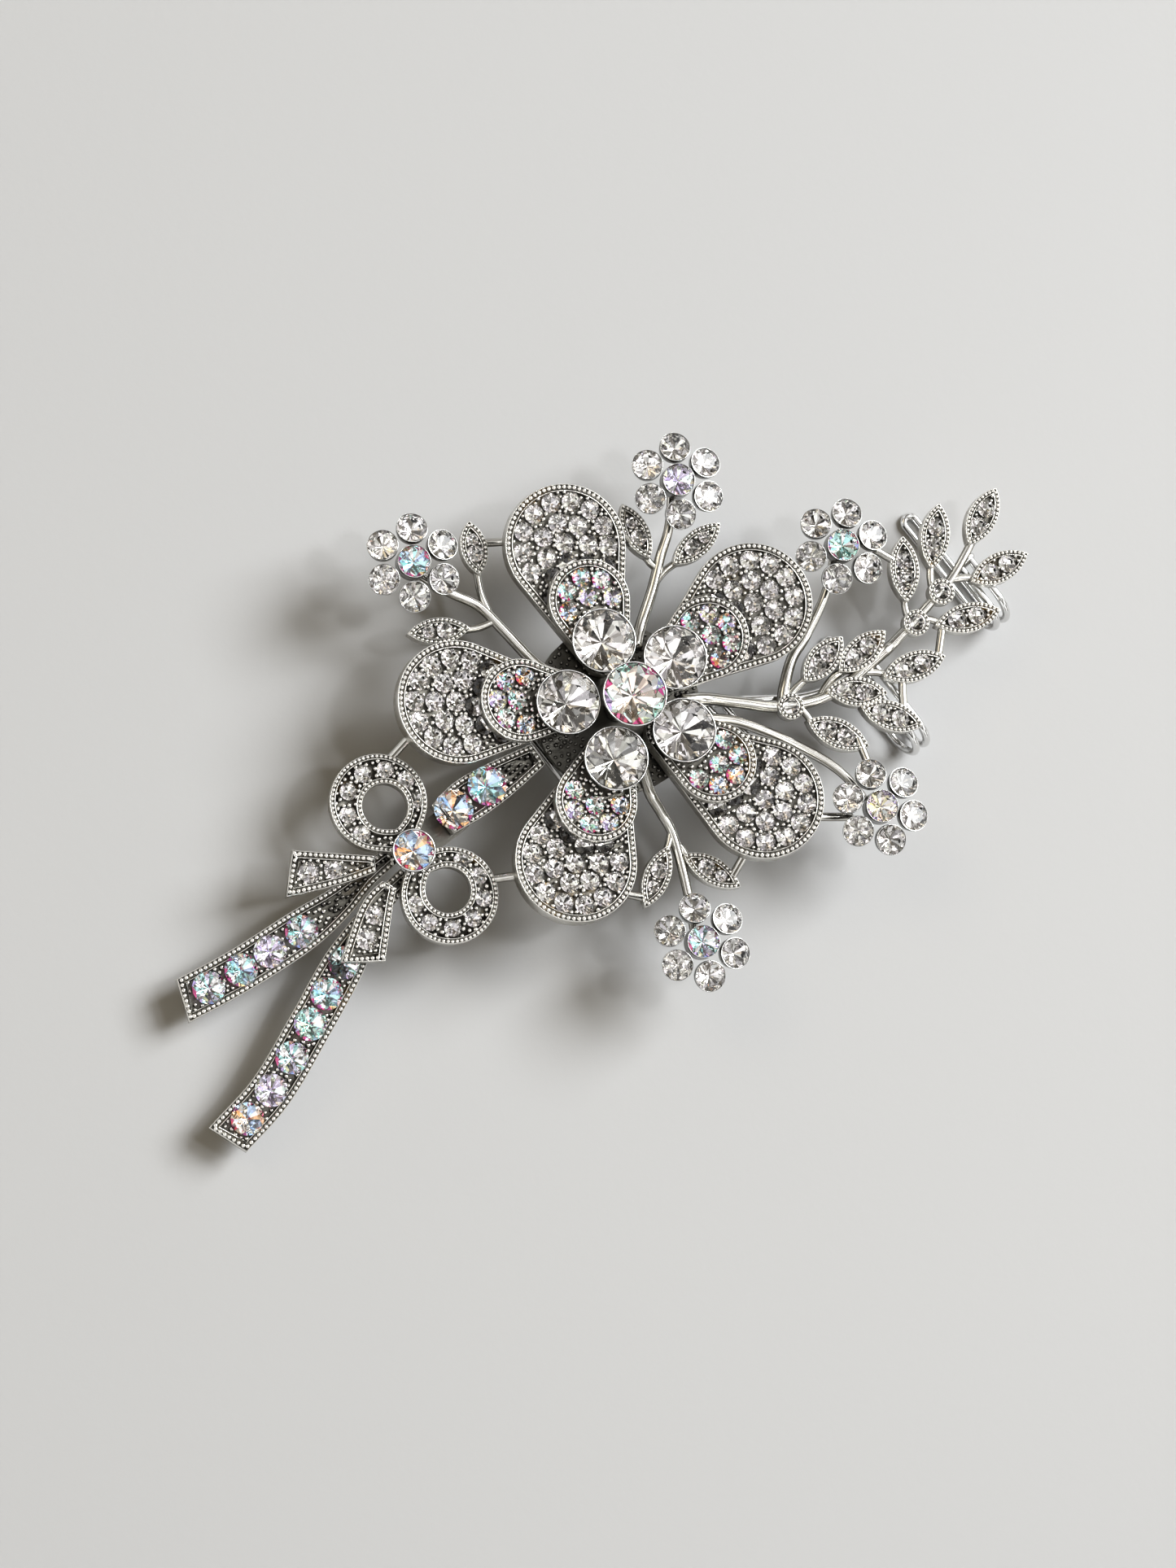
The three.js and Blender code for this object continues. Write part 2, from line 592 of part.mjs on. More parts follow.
function addBow(bow) {
  place(bow, 'ribbon_band', bandGeometry(), castMetal());
  bandStonesAt.forEach((at, i) => {
    const z = backZ + ribbon.height + bandStoneRise;
    place(bow, `band_stone_${i + 1}`, stoneGeometry(ribbonStone), auroraCrystal(), [...at, z]);
  });
  ['left', 'right'].forEach((side, i) => {
    place(bow, `bow_loop_${side}`, loopGeometry(bowLoops[i]), castMetal(), [0, 0, backZ]);
    const tail = rimmedBand(bowTails[i].line, bowTails[i].slant, ribbon, () => backZ);
    place(bow, `bow_tail_${side}`, tail, castMetal());
  });
  const knotZ = backZ + ribbon.height + solderGap + girdleAbove(ribbonStone);
  addCupAndStone(bow, 'knot', ribbonStone, () => cupGeometry(ribbonStone), auroraCrystal(), knotAt, knotZ);
  const length = strap.toX - strap.fromX;
  const strapShape = new THREE.BoxGeometry(length, 2 * strap.halfWidth, strap.thickness);
  const strapZ = backZ - solderGap - strap.thickness / 2;
  place(bow, 'bow_strap', strapShape, castMetal(), [strap.fromX + length / 2, strap.y, strapZ]);
}

// The streamers leave the bow from below it and droop towards the table.
function addStreamers(bow) {
  const shape = { ...ribbon, height: streamerHeight };
  const rootZ = backZ - solderGap - streamerHeight;
  const { fall, from, power } = streamerDroop;
  const undersideAt = (t) => rootZ - fall * (Math.max(t - from, 0) / (1 - from)) ** power;
  streamers.forEach(({ line, slant }, i) => {
    place(bow, `streamer_${i + 1}`, rimmedBand(line, slant, shape, undersideAt), castMetal());
  });
}

// ---- The wire comb: a spine under the castings, and four doubled prongs ----
// What lies beyond the flower follows the sprays that it carries.
function followed(x, y) {
  const [dx, dy] = x > combFollowsFrom ? standOff(sprayToward) : [0, 0];
  return [x + dx, y + dy];
}

const spinePoints = spineRoute.map((at) => new THREE.Vector3(...followed(...at), spineZ));
const spineCurve = new THREE.CatmullRomCurve3(spinePoints);

function spineYAt(x) {
  const points = spineCurve.getSpacedPoints(200);
  return points.reduce((best, p) => (Math.abs(p.x - x) < Math.abs(best.x - x) ? p : best)).y;
}

// One wire runs from the spine round the bend to the tip, and back beside itself.
function prongGeometry(prong) {
  const [x, bendY] = followed(prong.x, prong.bendY);
  const side = strandSpacing / 2;
  const bendRadius = (upperRunZ - lowerRunZ) / 2;
  const bendAt = bendY + wireDiameter / 2 + bendRadius;
  const tipAt = bendY + footLength - wireDiameter / 2 - side;
  const nearSpine = Math.min(spineYAt(x - side), spineYAt(x + side));
  const rootY = nearSpine - spineDiameter / 2 - wireDiameter / 2 - solderGap;
  const bend = arc([bendAt, lowerRunZ + bendRadius], bendRadius, Math.PI / 2, 1.5 * Math.PI, 8);
  const strand = [[rootY, upperRunZ], ...bend.map((p) => [p.x, p.y])];
  const tip = arc([0, tipAt], side, 0, Math.PI, 6).map((p) => new THREE.Vector3(x + p.x, p.y, lowerRunZ));
  const out = strand.map(([y, z]) => new THREE.Vector3(x + side, y, z));
  const back = strand.map(([y, z]) => new THREE.Vector3(x - side, y, z)).reverse();
  const route = [...out, ...tip, ...back];
  return bar(new Route(route), wireDiameter, route.length - 1);
}

function addComb() {
  place(pin, 'comb_spine', bar(spineCurve, spineDiameter, 24), wireMetal());
  prongs.forEach((prong, i) => {
    place(pin, `prong_${i + 1}`, prongGeometry(prong), wireMetal());
  });
}

addBackPlate();
addPetals();
addFlowerStones();
florets.forEach((floret, i) => addFloret(floret, i + 1));
addSpray('lower_spray', lowerSpray);
addSpray('upper_spray', upperSpray);
const bowGroup = standOffGroup([-1, 0]);
addBow(bowGroup);
addStreamers(bowGroup);
addComb();

// The origin is under the middle of the whole, on the surface that the prongs lie on.
const bounds = new THREE.Box3().setFromObject(pin, true);
const middle = bounds.getCenter(new THREE.Vector3());
pin.position.set(-middle.x, -middle.y, -bounds.min.z);

export default whole;
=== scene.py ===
# Stone-set flower and bow hair pin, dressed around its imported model.
import math
import random

import bmesh
import bpy
from mathutils import Matrix, Vector


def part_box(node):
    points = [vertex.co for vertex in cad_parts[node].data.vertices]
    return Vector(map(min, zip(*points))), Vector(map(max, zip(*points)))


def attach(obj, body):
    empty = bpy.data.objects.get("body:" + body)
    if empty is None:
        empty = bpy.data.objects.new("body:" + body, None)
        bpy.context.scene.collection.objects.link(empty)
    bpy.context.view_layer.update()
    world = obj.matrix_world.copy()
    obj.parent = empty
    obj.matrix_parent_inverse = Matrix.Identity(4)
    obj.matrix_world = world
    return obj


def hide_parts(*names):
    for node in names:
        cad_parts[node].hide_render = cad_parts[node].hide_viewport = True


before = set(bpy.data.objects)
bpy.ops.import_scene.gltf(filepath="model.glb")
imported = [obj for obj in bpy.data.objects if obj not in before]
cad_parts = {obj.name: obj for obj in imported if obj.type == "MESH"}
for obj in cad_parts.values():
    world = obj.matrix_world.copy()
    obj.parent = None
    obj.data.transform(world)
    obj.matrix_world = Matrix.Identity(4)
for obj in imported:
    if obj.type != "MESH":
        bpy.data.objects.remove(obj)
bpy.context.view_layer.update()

mm = 0.001
scene = bpy.context.scene


def boxOf(node):
    low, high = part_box(node)
    return (low + high) / 2, high - low, low, high


flower = boxOf("center_post")[0]  # the ornament is laid out from the flower's middle
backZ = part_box("back_plate")[0].z / mm  # underside of the castings


def placed(x, y, z):
    return Vector((flower.x + x * mm, flower.y + y * mm, z * mm))


def local(point):  # back from the frame to millimetres from the flower's middle
    return (point.x - flower.x) / mm, (point.y - flower.y) / mm, point.z / mm


view = {"lean": 15, "roll": 38, "distance": 0.45, "height": 0.1773, "aim": (-8.4, -4.7, 9)}


def viewAxes():
    lean, roll = math.radians(view["lean"]), math.radians(view["roll"])
    back = Vector((-math.sin(lean), 0, math.cos(lean)))
    along = Vector((math.cos(lean), 0, math.sin(lean)))
    across = Vector((0, 1, 0))
    right = along * math.cos(roll) - across * math.sin(roll)
    up = along * math.sin(roll) + across * math.cos(roll)
    return right, up, back


def makeCamera():
    right, up, back = viewAxes()
    data = bpy.data.cameras.new("camera")
    data.sensor_fit = "VERTICAL"
    data.sensor_height = 36
    data.lens = data.sensor_height * view["distance"] / view["height"]
    camera = bpy.data.objects.new("camera", data)
    turn = Matrix((right, up, back)).transposed().to_4x4()
    spot = placed(*view["aim"]) + back * view["distance"]
    camera.matrix_world = Matrix.Translation(spot) @ turn
    data.clip_start = 0.01
    scene.collection.objects.link(camera)
    scene.camera = camera
    print("camera ready")


lights = {
    "key": {"from": (2.05, -0.45, 2.05), "size": 1.5, "power": 86, "tint": (0.985, 0.995, 1.0)},
    "fill": {"from": (-0.35, 1.1, 1.3), "size": 0.7, "power": 1.8, "tint": (1.0, 0.86, 0.62)},
    "glint": {"from": (0.16, -0.12, 0.50), "size": 0.05, "power": 0.25, "tint": (1.0, 1.0, 1.0)},
}
roomLight = {
    "low": 0.10, "lowTint": (1.15, 1.0, 0.8), "high": 1.55, "edges": (0.42, 0.60), "patch": 2.6, "seed": 3.0,
    "strength": 1.0, "bounce": (0.078, 0.056, 0.022),
}


def makeLights():
    for name, item in lights.items():
        data = bpy.data.lights.new(name, "AREA")
        data.shape = "SQUARE"
        data.size = item["size"]
        data.energy = item["power"]
        data.color = item["tint"]
        lamp = bpy.data.objects.new(name, data)
        spot = Vector(item["from"])
        lamp.matrix_world = Matrix.Translation(spot) @ spot.to_track_quat("Z", "Y").to_matrix().to_4x4()
        scene.collection.objects.link(lamp)
    world = bpy.data.worlds.new("room")
    scene.world = world
    world.use_nodes = True
    nodes, links = world.node_tree.nodes, world.node_tree.links
    nodes.clear()
    out = nodes.new("ShaderNodeOutputWorld")
    glow = nodes.new("ShaderNodeBackground")
    glow.inputs["Strength"].default_value = roomLight["strength"]
    direction = nodes.new("ShaderNodeTexCoord")
    patches = nodes.new("ShaderNodeTexNoise")
    patches.noise_dimensions = "4D"
    patches.inputs["W"].default_value = roomLight["seed"]
    patches.inputs["Scale"].default_value = roomLight["patch"]
    patches.inputs["Detail"].default_value = 1.0
    ramp = nodes.new("ShaderNodeValToRGB")
    ramp.color_ramp.elements[0].position = roomLight["edges"][0]
    ramp.color_ramp.elements[0].color = [roomLight["low"] * c for c in roomLight["lowTint"]] + [1]
    ramp.color_ramp.elements[1].position = roomLight["edges"][1]
    ramp.color_ramp.elements[1].color = [roomLight["high"]] * 3 + [1]
    links.new(direction.outputs["Generated"], patches.inputs["Vector"])
    links.new(patches.outputs["Fac"], ramp.inputs["Fac"])
    # gloss sees bright and dark patches of the room, while matt surfaces get a dim, warm fill
    ray = nodes.new("ShaderNodeLightPath")
    shared = nodes.new("ShaderNodeMix")
    shared.data_type = "RGBA"
    shared.inputs[7].default_value = (*roomLight["bounce"], 1)
    links.new(ray.outputs["Is Diffuse Ray"], shared.inputs["Factor"])
    links.new(ramp.outputs["Color"], shared.inputs[6])
    links.new(shared.outputs[2], glow.inputs["Color"])
    links.new(glow.outputs["Background"], out.inputs["Surface"])
    scene.view_settings.view_transform = "Standard"
    scene.view_settings.look = "None"
    print("lights ready")


def newGroup(name, inputs, outputs):
    group = bpy.data.node_groups.new(name, "ShaderNodeTree")
    for label, kind, value in inputs:
        socket = group.interface.new_socket(name=label, in_out="INPUT", socket_type=kind)
        socket.default_value = value
    for label, kind in outputs:
        group.interface.new_socket(name=label, in_out="OUTPUT", socket_type=kind)
    return group, group.nodes.new("NodeGroupInput"), group.nodes.new("NodeGroupOutput")


def feed(tree, socket, value):
    if isinstance(value, bpy.types.NodeSocket):
        tree.links.new(value, socket)
    else:
        socket.default_value = value


def addNode(tree, kind, inputs=None, **options):
    # a node with its options set, and each input given a value or a link
    node = tree.nodes.new(kind)
    for name, value in options.items():
        setattr(node, name, value)
    for label, value in (inputs or {}).items():
        feed(tree, node.inputs[label], value)
    return node


def mathNode(tree, operation, first, second):
    return addNode(tree, "ShaderNodeMath", {0: first, 1: second}, operation=operation).outputs[0]


def rangeNode(tree, value, low, high, outLow=0.0, outHigh=1.0):
    given = {"Value": value, "From Min": low, "From Max": high, "To Min": outLow, "To Max": outHigh}
    return addNode(tree, "ShaderNodeMapRange", given, interpolation_type="SMOOTHSTEP").outputs["Result"]


def mixNode(tree, factor, first, second):
    node = addNode(tree, "ShaderNodeMix", data_type="RGBA")
    for socket, value in zip((node.inputs["Factor"], node.inputs[6], node.inputs[7]),
                             (factor, first, second)):
        feed(tree, socket, value)
    return node.outputs[2]


def noiseNode(tree, vector, scale, detail=3.0):
    given = {"Vector": vector, "Scale": scale, "Detail": detail}
    return addNode(tree, "ShaderNodeTexNoise", given).outputs["Fac"]


# noise for the speckled edge and warm patches of the painted shade, and for real handling scratches
wearAndShadeNoise = {
    "jitter": 0.7, "patchScale": 130, "patchEdges": (0.60, 0.68),
    "scratchStretch": (1, 9, 4), "scratchTurn": (0.3, 0.2, 0.7),
}


def makeFacingShadeGroup():
    # painted light and shade: faces turned up take the lit colour and faces turned away the shaded colour,
    # the edge broken by speckle; warm patches tint the painted shade
    group, given, result = newGroup(
        "tarnish",
        [("Bright", "NodeSocketColor", (0.8, 0.8, 0.8, 1)),
         ("Dark", "NodeSocketColor", (0.05, 0.05, 0.05, 1)),
         ("Low Facing", "NodeSocketFloat", -0.2), ("High Facing", "NodeSocketFloat", 0.6),
         ("Warm", "NodeSocketColor", (0.3, 0.17, 0.03, 1)), ("Warm Share", "NodeSocketFloat", 0.0),
         ("Speckle", "NodeSocketFloat", 900.0),
         ("Smooth", "NodeSocketFloat", 0.12), ("Rough", "NodeSocketFloat", 0.5)],
        [("Color", "NodeSocketColor"), ("Roughness", "NodeSocketFloat")],
    )
    where = group.nodes.new("ShaderNodeTexCoord")
    given = given.outputs
    split = addNode(group, "ShaderNodeSeparateXYZ", {"Vector": where.outputs["Normal"]})
    speckle = noiseNode(group, where.outputs["Object"], given["Speckle"], 4)
    jitter = mathNode(group, "MULTIPLY", mathNode(group, "SUBTRACT", speckle, 0.5), wearAndShadeNoise["jitter"])
    facing = mathNode(group, "ADD", split.outputs["Z"], jitter)
    mask = rangeNode(group, facing, given["Low Facing"], given["High Facing"])
    broad = noiseNode(group, where.outputs["Object"], wearAndShadeNoise["patchScale"], 1)
    patch = mathNode(group, "MULTIPLY", rangeNode(group, broad, *wearAndShadeNoise["patchEdges"]), given["Warm Share"])
    dark = mixNode(group, patch, given["Dark"], given["Warm"])
    # painted light: the lit colour on upturned faces, the painted shade on the rest
    color = mixNode(group, mask, dark, given["Bright"])
    rough = rangeNode(group, mask, 0.0, 1.0, given["Rough"], given["Smooth"])
    feed(group, result.inputs["Color"], color)
    feed(group, result.inputs["Roughness"], rough)
    return group


def makeGrainGroup():
    # fine casting grain and faint handling scratches, as a height
    group, given, result = newGroup(
        "castGrain",
        [("Grain", "NodeSocketFloat", 3000.0), ("Scratch", "NodeSocketFloat", 500.0),
         ("Weight", "NodeSocketFloat", 0.5)],
        [("Height", "NodeSocketFloat")],
    )
    given = given.outputs
    where = group.nodes.new("ShaderNodeTexCoord").outputs["Object"]
    grain = noiseNode(group, where, given["Grain"], 3)
    stretch = addNode(group, "ShaderNodeMapping", {
        "Scale": wearAndShadeNoise["scratchStretch"], "Rotation": wearAndShadeNoise["scratchTurn"], "Vector": where})
    scratch = noiseNode(group, stretch.outputs["Vector"], given["Scratch"], 2)
    weighted = mathNode(group, "MULTIPLY", scratch, given["Weight"])
    feed(group, result.inputs["Height"], mathNode(group, "ADD", grain, weighted))
    return group


def newMaterial(name):
    material = bpy.data.materials.new(name)
    material.use_nodes = True
    tree = material.node_tree
    return material, tree, tree.nodes["Principled BSDF"]


def metalFinish(name, look, groups):
    material, tree, shader = newMaterial(name)
    shader.inputs["Metallic"].default_value = 1.0
    tarnish = addNode(tree, "ShaderNodeGroup", node_tree=groups["tarnish"])
    values = {
        "Bright": (*look["bright"], 1), "Dark": (*look["dark"], 1), "Speckle": look["speckle"],
        "Low Facing": look["facing"][0], "High Facing": look["facing"][1], "Warm Share": look.get("warm", 0),
        "Smooth": look["smooth"], "Rough": look["rough"],
    }
    for label, value in values.items():
        feed(tree, tarnish.inputs[label], value)
    grain = addNode(tree, "ShaderNodeGroup", node_tree=groups["grain"])
    feed(tree, grain.inputs["Grain"], look["grain"])
    bump = addNode(tree, "ShaderNodeBump", {
        "Strength": look["bump"], "Distance": grainDepth, "Height": grain.outputs["Height"]})
    feed(tree, shader.inputs["Normal"], bump.outputs["Normal"])
    feed(tree, shader.inputs["Base Color"], tarnish.outputs["Color"])
    feed(tree, shader.inputs["Roughness"], tarnish.outputs["Roughness"])
    return material


grainDepth = 0.0001
# painted light and shade: each look's lit and shaded colours are mixed by how far a face turns up, between
# the two facing values
metalLooks = {
    "castWall": {"bright": (0.76, 0.745, 0.70), "dark": (0.27, 0.255, 0.22), "facing": (-0.4, 0.4),
                 "speckle": 700, "smooth": 0.22, "rough": 0.38, "grain": 2500, "bump": 0.25},
    # painted shade: the ledge between the lips, the inner walls and the sunk field, dark with warm patches
    "castHollow": {"bright": (0.24, 0.23, 0.20), "dark": (0.06, 0.055, 0.045), "facing": (0.4, 1.2),
                 "speckle": 1400, "smooth": 0.35, "rough": 0.6, "grain": 3500, "bump": 0.5, "warm": 0.9},
    "milgrain": {"bright": (0.95, 0.93, 0.885), "dark": (0.09, 0.082, 0.068), "facing": (0.05, 0.65),
                 "speckle": 900, "smooth": 0.14, "rough": 0.5, "grain": 4000, "bump": 0.12},
    "granules": {"bright": (0.93, 0.91, 0.86), "dark": (0.08, 0.073, 0.06), "facing": (0.0, 0.7),
                 "speckle": 900, "smooth": 0.18, "rough": 0.55, "grain": 4000, "bump": 0.15},
    # painted shade: granules near the roots and joins of the castings and on the back plate, darker than the
    # rest
    "rootGranules": {"bright": (0.27, 0.26, 0.24), "dark": (0.03, 0.028, 0.025), "facing": (0.35, 1.1),
                 "speckle": 900, "smooth": 0.25, "rough": 0.55, "grain": 4000, "bump": 0.15},
    # painted shade: the back plate, post and bow strap, dark where they show between and under the castings
    "plateBack": {"bright": (0.13, 0.125, 0.11), "dark": (0.05, 0.046, 0.04), "facing": (-1.4, -0.4),
                 "speckle": 700, "smooth": 0.3, "rough": 0.5, "grain": 2500, "bump": 0.3},
    "brightPlate": {"bright": (0.86, 0.86, 0.85), "dark": (0.10, 0.095, 0.085), "facing": (0.1, 0.75),
                 "speckle": 500, "smooth": 0.09, "rough": 0.2, "grain": 1800, "bump": 0.08},
    # painted highlight: stems are lit only along their top and dark down their sides
    "stemMetal": {"bright": (0.74, 0.725, 0.68), "dark": (0.12, 0.11, 0.088), "facing": (0.0, 1.0),
                 "speckle": 450, "smooth": 0.15, "rough": 0.35, "grain": 1500, "bump": 0.12},
    "combWire": {"bright": (0.78, 0.78, 0.77), "dark": (0.45, 0.44, 0.43), "facing": (-1.0, 0.4),
                 "speckle": 600, "smooth": 0.12, "rough": 0.25, "grain": 2200, "bump": 0.06},
}
crystalLook = {"ior": 1.34, "coat": 0.35, "coatIor": 1.7, "coatRoughness": 0.01}


def crystalFinish(name):
    material, tree, shader = newMaterial(name)
    values = {
        "Transmission Weight": 1.0, "IOR": crystalLook["ior"], "Roughness": 0.0,
        "Coat Weight": crystalLook["coat"], "Coat IOR": crystalLook["coatIor"],
        "Coat Roughness": crystalLook["coatRoughness"],
    }
    for label, value in values.items():
        shader.inputs[label].default_value = value
    tint = addNode(tree, "ShaderNodeAttribute", attribute_name="tint")
    feed(tree, shader.inputs["Base Color"], tint.outputs["Color"])
    return material


def foilFinish(name):
    # the silvered back of a stone, a little mottled
    material, tree, shader = newMaterial(name)
    shader.inputs["Metallic"].default_value = 1.0
    tint = addNode(tree, "ShaderNodeAttribute", attribute_name="tint")
    where = tree.nodes.new("ShaderNodeTexCoord").outputs["Object"]
    mottle = rangeNode(tree, noiseNode(tree, where, 900, 2), 0.3, 0.7, 0.02, 0.09)
    feed(tree, shader.inputs["Roughness"], mottle)
    feed(tree, shader.inputs["Base Color"], tint.outputs["Color"])
    return material


tableLook = {
    "cool": (0.695, 0.705, 0.72, 1), "warm": (0.725, 0.735, 0.745, 1), "roughness": 0.55, "broad": 6,
    "fine": 900,
    "bump": 0.08, "bumpDepth": 0.0002, "half": 1.2,
}


def tableFinish():
    material, tree, shader = newMaterial("paleTable")
    where = tree.nodes.new("ShaderNodeTexCoord").outputs["Object"]
    broad = noiseNode(tree, where, tableLook["broad"], 3)
    fine = noiseNode(tree, where, tableLook["fine"], 3)
    feed(tree, shader.inputs["Base Color"], mixNode(tree, broad, tableLook["cool"], tableLook["warm"]))
    shader.inputs["Roughness"].default_value = tableLook["roughness"]
    bump = addNode(tree, "ShaderNodeBump", {
        "Strength": tableLook["bump"], "Distance": tableLook["bumpDepth"], "Height": fine})
    feed(tree, shader.inputs["Normal"], bump.outputs["Normal"])
    return material


makeCamera()
makeLights()
shaderGroups = {"tarnish": makeFacingShadeGroup(), "grain": makeGrainGroup()}
finishes = {name: metalFinish(name, look, shaderGroups) for name, look in metalLooks.items()}
finishes.update({name: crystalFinish(name) for name in ("clearCrown", "auroraCrown")})
finishes["stoneFoil"] = foilFinish("stoneFoil")
finishes["paleTable"] = tableFinish()
metalSlots = ["castWall", "castHollow", "milgrain", "granules", "rootGranules", "brightPlate", "stemMetal",
              "combWire"]
stoneSlots = ["clearCrown", "auroraCrown", "stoneFoil"]
print("finishes ready")


def newTree(name, inputs):
    tree = bpy.data.node_groups.new(name, "GeometryNodeTree")
    tree.interface.new_socket(name="Geometry", in_out="INPUT", socket_type="NodeSocketGeometry")
    for label, kind in inputs:
        tree.interface.new_socket(name=label, in_out="INPUT", socket_type=kind)
    tree.interface.new_socket(name="Geometry", in_out="OUTPUT", socket_type="NodeSocketGeometry")
    return tree, tree.nodes.new("NodeGroupInput"), tree.nodes.new("NodeGroupOutput")


def namedValue(tree, name, kind):
    node = tree.nodes.new("GeometryNodeInputNamedAttribute")
    node.data_type = kind
    node.inputs["Name"].default_value = name
    return node.outputs["Attribute"]


beadFaces = {"around": 8, "rings": 6, "granuleRings": 5, "post": 6, "postRadius": 0.8, "wire": 16}


def closeTree(tree, grownPart, metal, result):
    # every tree ends in real, finished geometry
    real = addNode(tree, "GeometryNodeRealizeInstances", {"Geometry": grownPart})
    finished = addNode(tree, "GeometryNodeSetMaterial",
                       {"Geometry": real.outputs["Geometry"], "Material": metal})
    feed(tree, result.inputs["Geometry"], finished.outputs["Geometry"])
    return tree


def smoothed(tree, part):
    return addNode(tree, "GeometryNodeSetShadeSmooth", {"Geometry": part}).outputs["Geometry"]


def makeMilgrainTree():
    # a row of beads along every edge path it is given
    tree, given, result = newTree("milgrainRow", [
        ("Pitch", "NodeSocketFloat"), ("Bead Radius", "NodeSocketFloat"), ("Metal", "NodeSocketMaterial")])
    given = given.outputs
    path = addNode(tree, "GeometryNodeMeshToCurve", {"Mesh": given["Geometry"]})
    spaced = addNode(tree, "GeometryNodeResampleCurve", mode="LENGTH")
    feed(tree, spaced.inputs["Curve"], path.outputs["Curve"])
    feed(tree, spaced.inputs["Length"], given["Pitch"])
    bead = addNode(tree, "GeometryNodeMeshUVSphere", {
        "Segments": beadFaces["around"], "Rings": beadFaces["rings"], "Radius": given["Bead Radius"]})
    spots = addNode(tree, "GeometryNodeInstanceOnPoints", {
        "Points": spaced.outputs["Curve"], "Instance": bead.outputs["Mesh"]})
    return closeTree(tree, smoothed(tree, spots.outputs["Instances"]), given["Metal"], result)


def makeGranuleTree():
    # a round-topped post of metal on every point, sized by the point's size and depth
    tree, given, result = newTree("granuleBed", [("Metal", "NodeSocketMaterial")])
    given = given.outputs
    ball = addNode(tree, "GeometryNodeMeshUVSphere", {
        "Segments": beadFaces["around"], "Rings": beadFaces["granuleRings"], "Radius": 1.0})
    shaft = addNode(tree, "GeometryNodeMeshCylinder", {
        "Vertices": beadFaces["post"], "Radius": beadFaces["postRadius"], "Depth": 1.0})
    lowered = addNode(tree, "GeometryNodeTransform", {
        "Geometry": shaft.outputs["Mesh"], "Translation": (0, 0, -0.5)})
    size, depth = namedValue(tree, "size", "FLOAT"), namedValue(tree, "depth", "FLOAT")
    stretch = addNode(tree, "ShaderNodeCombineXYZ", {"X": size, "Y": size, "Z": depth})
    both = tree.nodes.new("GeometryNodeJoinGeometry")
    for part, scale in ((lowered.outputs["Geometry"], stretch.outputs["Vector"]),
                        (ball.outputs["Mesh"], size)):
        spots = addNode(tree, "GeometryNodeInstanceOnPoints", {
            "Points": given["Geometry"], "Instance": part, "Scale": scale})
        feed(tree, both.inputs["Geometry"], spots.outputs["Instances"])
    return closeTree(tree, smoothed(tree, both.outputs["Geometry"]), given["Metal"], result)


def makeStoneTree():
    # a cut stone on every point, turned and sized by the point; the back of each is foiled
    tree, given, result = newTree("stoneSetting", [
        ("Stone", "NodeSocketObject"), ("Crown", "NodeSocketMaterial"), ("Foil", "NodeSocketMaterial")])
    given = given.outputs
    cut = addNode(tree, "GeometryNodeObjectInfo", {"Object": given["Stone"]})
    turn = addNode(tree, "FunctionNodeEulerToRotation", {"Euler": namedValue(tree, "turn", "FLOAT_VECTOR")})
    spots = addNode(tree, "GeometryNodeInstanceOnPoints", {
        "Points": given["Geometry"], "Instance": cut.outputs["Geometry"],
        "Rotation": turn.outputs["Rotation"],
        "Scale": namedValue(tree, "size", "FLOAT")})
    real = addNode(tree, "GeometryNodeRealizeInstances", {"Geometry": spots.outputs["Instances"]})
    crown = addNode(tree, "GeometryNodeSetMaterial", {
        "Geometry": real.outputs["Geometry"], "Material": given["Crown"]})
    foil = addNode(tree, "GeometryNodeSetMaterial", {
        "Geometry": crown.outputs["Geometry"], "Selection": namedValue(tree, "foiled", "BOOLEAN"),
        "Material": given["Foil"]})
    feed(tree, result.inputs["Geometry"], foil.outputs["Geometry"])
    return tree


def makeWireTree():
    # a round wire along every path it is given
    tree, given, result = newTree("wireRun", [
        ("Wire Radius", "NodeSocketFloat"), ("Metal", "NodeSocketMaterial")])
    given = given.outputs
    path = addNode(tree, "GeometryNodeMeshToCurve", {"Mesh": given["Geometry"]})
    section = addNode(tree, "GeometryNodeCurvePrimitiveCircle", {
        "Resolution": beadFaces["wire"], "Radius": given["Wire Radius"]})
    body = addNode(tree, "GeometryNodeCurveToMesh", {
        "Curve": path.outputs["Curve"], "Profile Curve": section.outputs["Curve"], "Fill Caps": True})
    return closeTree(tree, smoothed(tree, body.outputs["Mesh"]), given["Metal"], result)


def grown(tree, mesh, **inputs):
    # runs a tree on a mesh and gives back a plain mesh
    host = bpy.data.objects.new("host", mesh)
    scene.collection.objects.link(host)
    modifier = host.modifiers.new("grow", "NODES")
    modifier.node_group = tree
    for socket in tree.interface.items_tree:
        label = socket.name.replace(" ", "")
        label = label[0].lower() + label[1:]
        if socket.in_out == "INPUT" and label in inputs:
            modifier[socket.identifier] = inputs[label]
    bpy.context.view_layer.update()
    depsgraph = bpy.context.evaluated_depsgraph_get()
    result = bpy.data.meshes.new_from_object(host.evaluated_get(depsgraph), depsgraph=depsgraph)
    host.modifiers.remove(modifier)
    bpy.data.objects.remove(host)
    return result


trees = {"milgrain": makeMilgrainTree(), "granules": makeGranuleTree(), "stones": makeStoneTree(),
         "wire": makeWireTree()}
print("node trees ready")


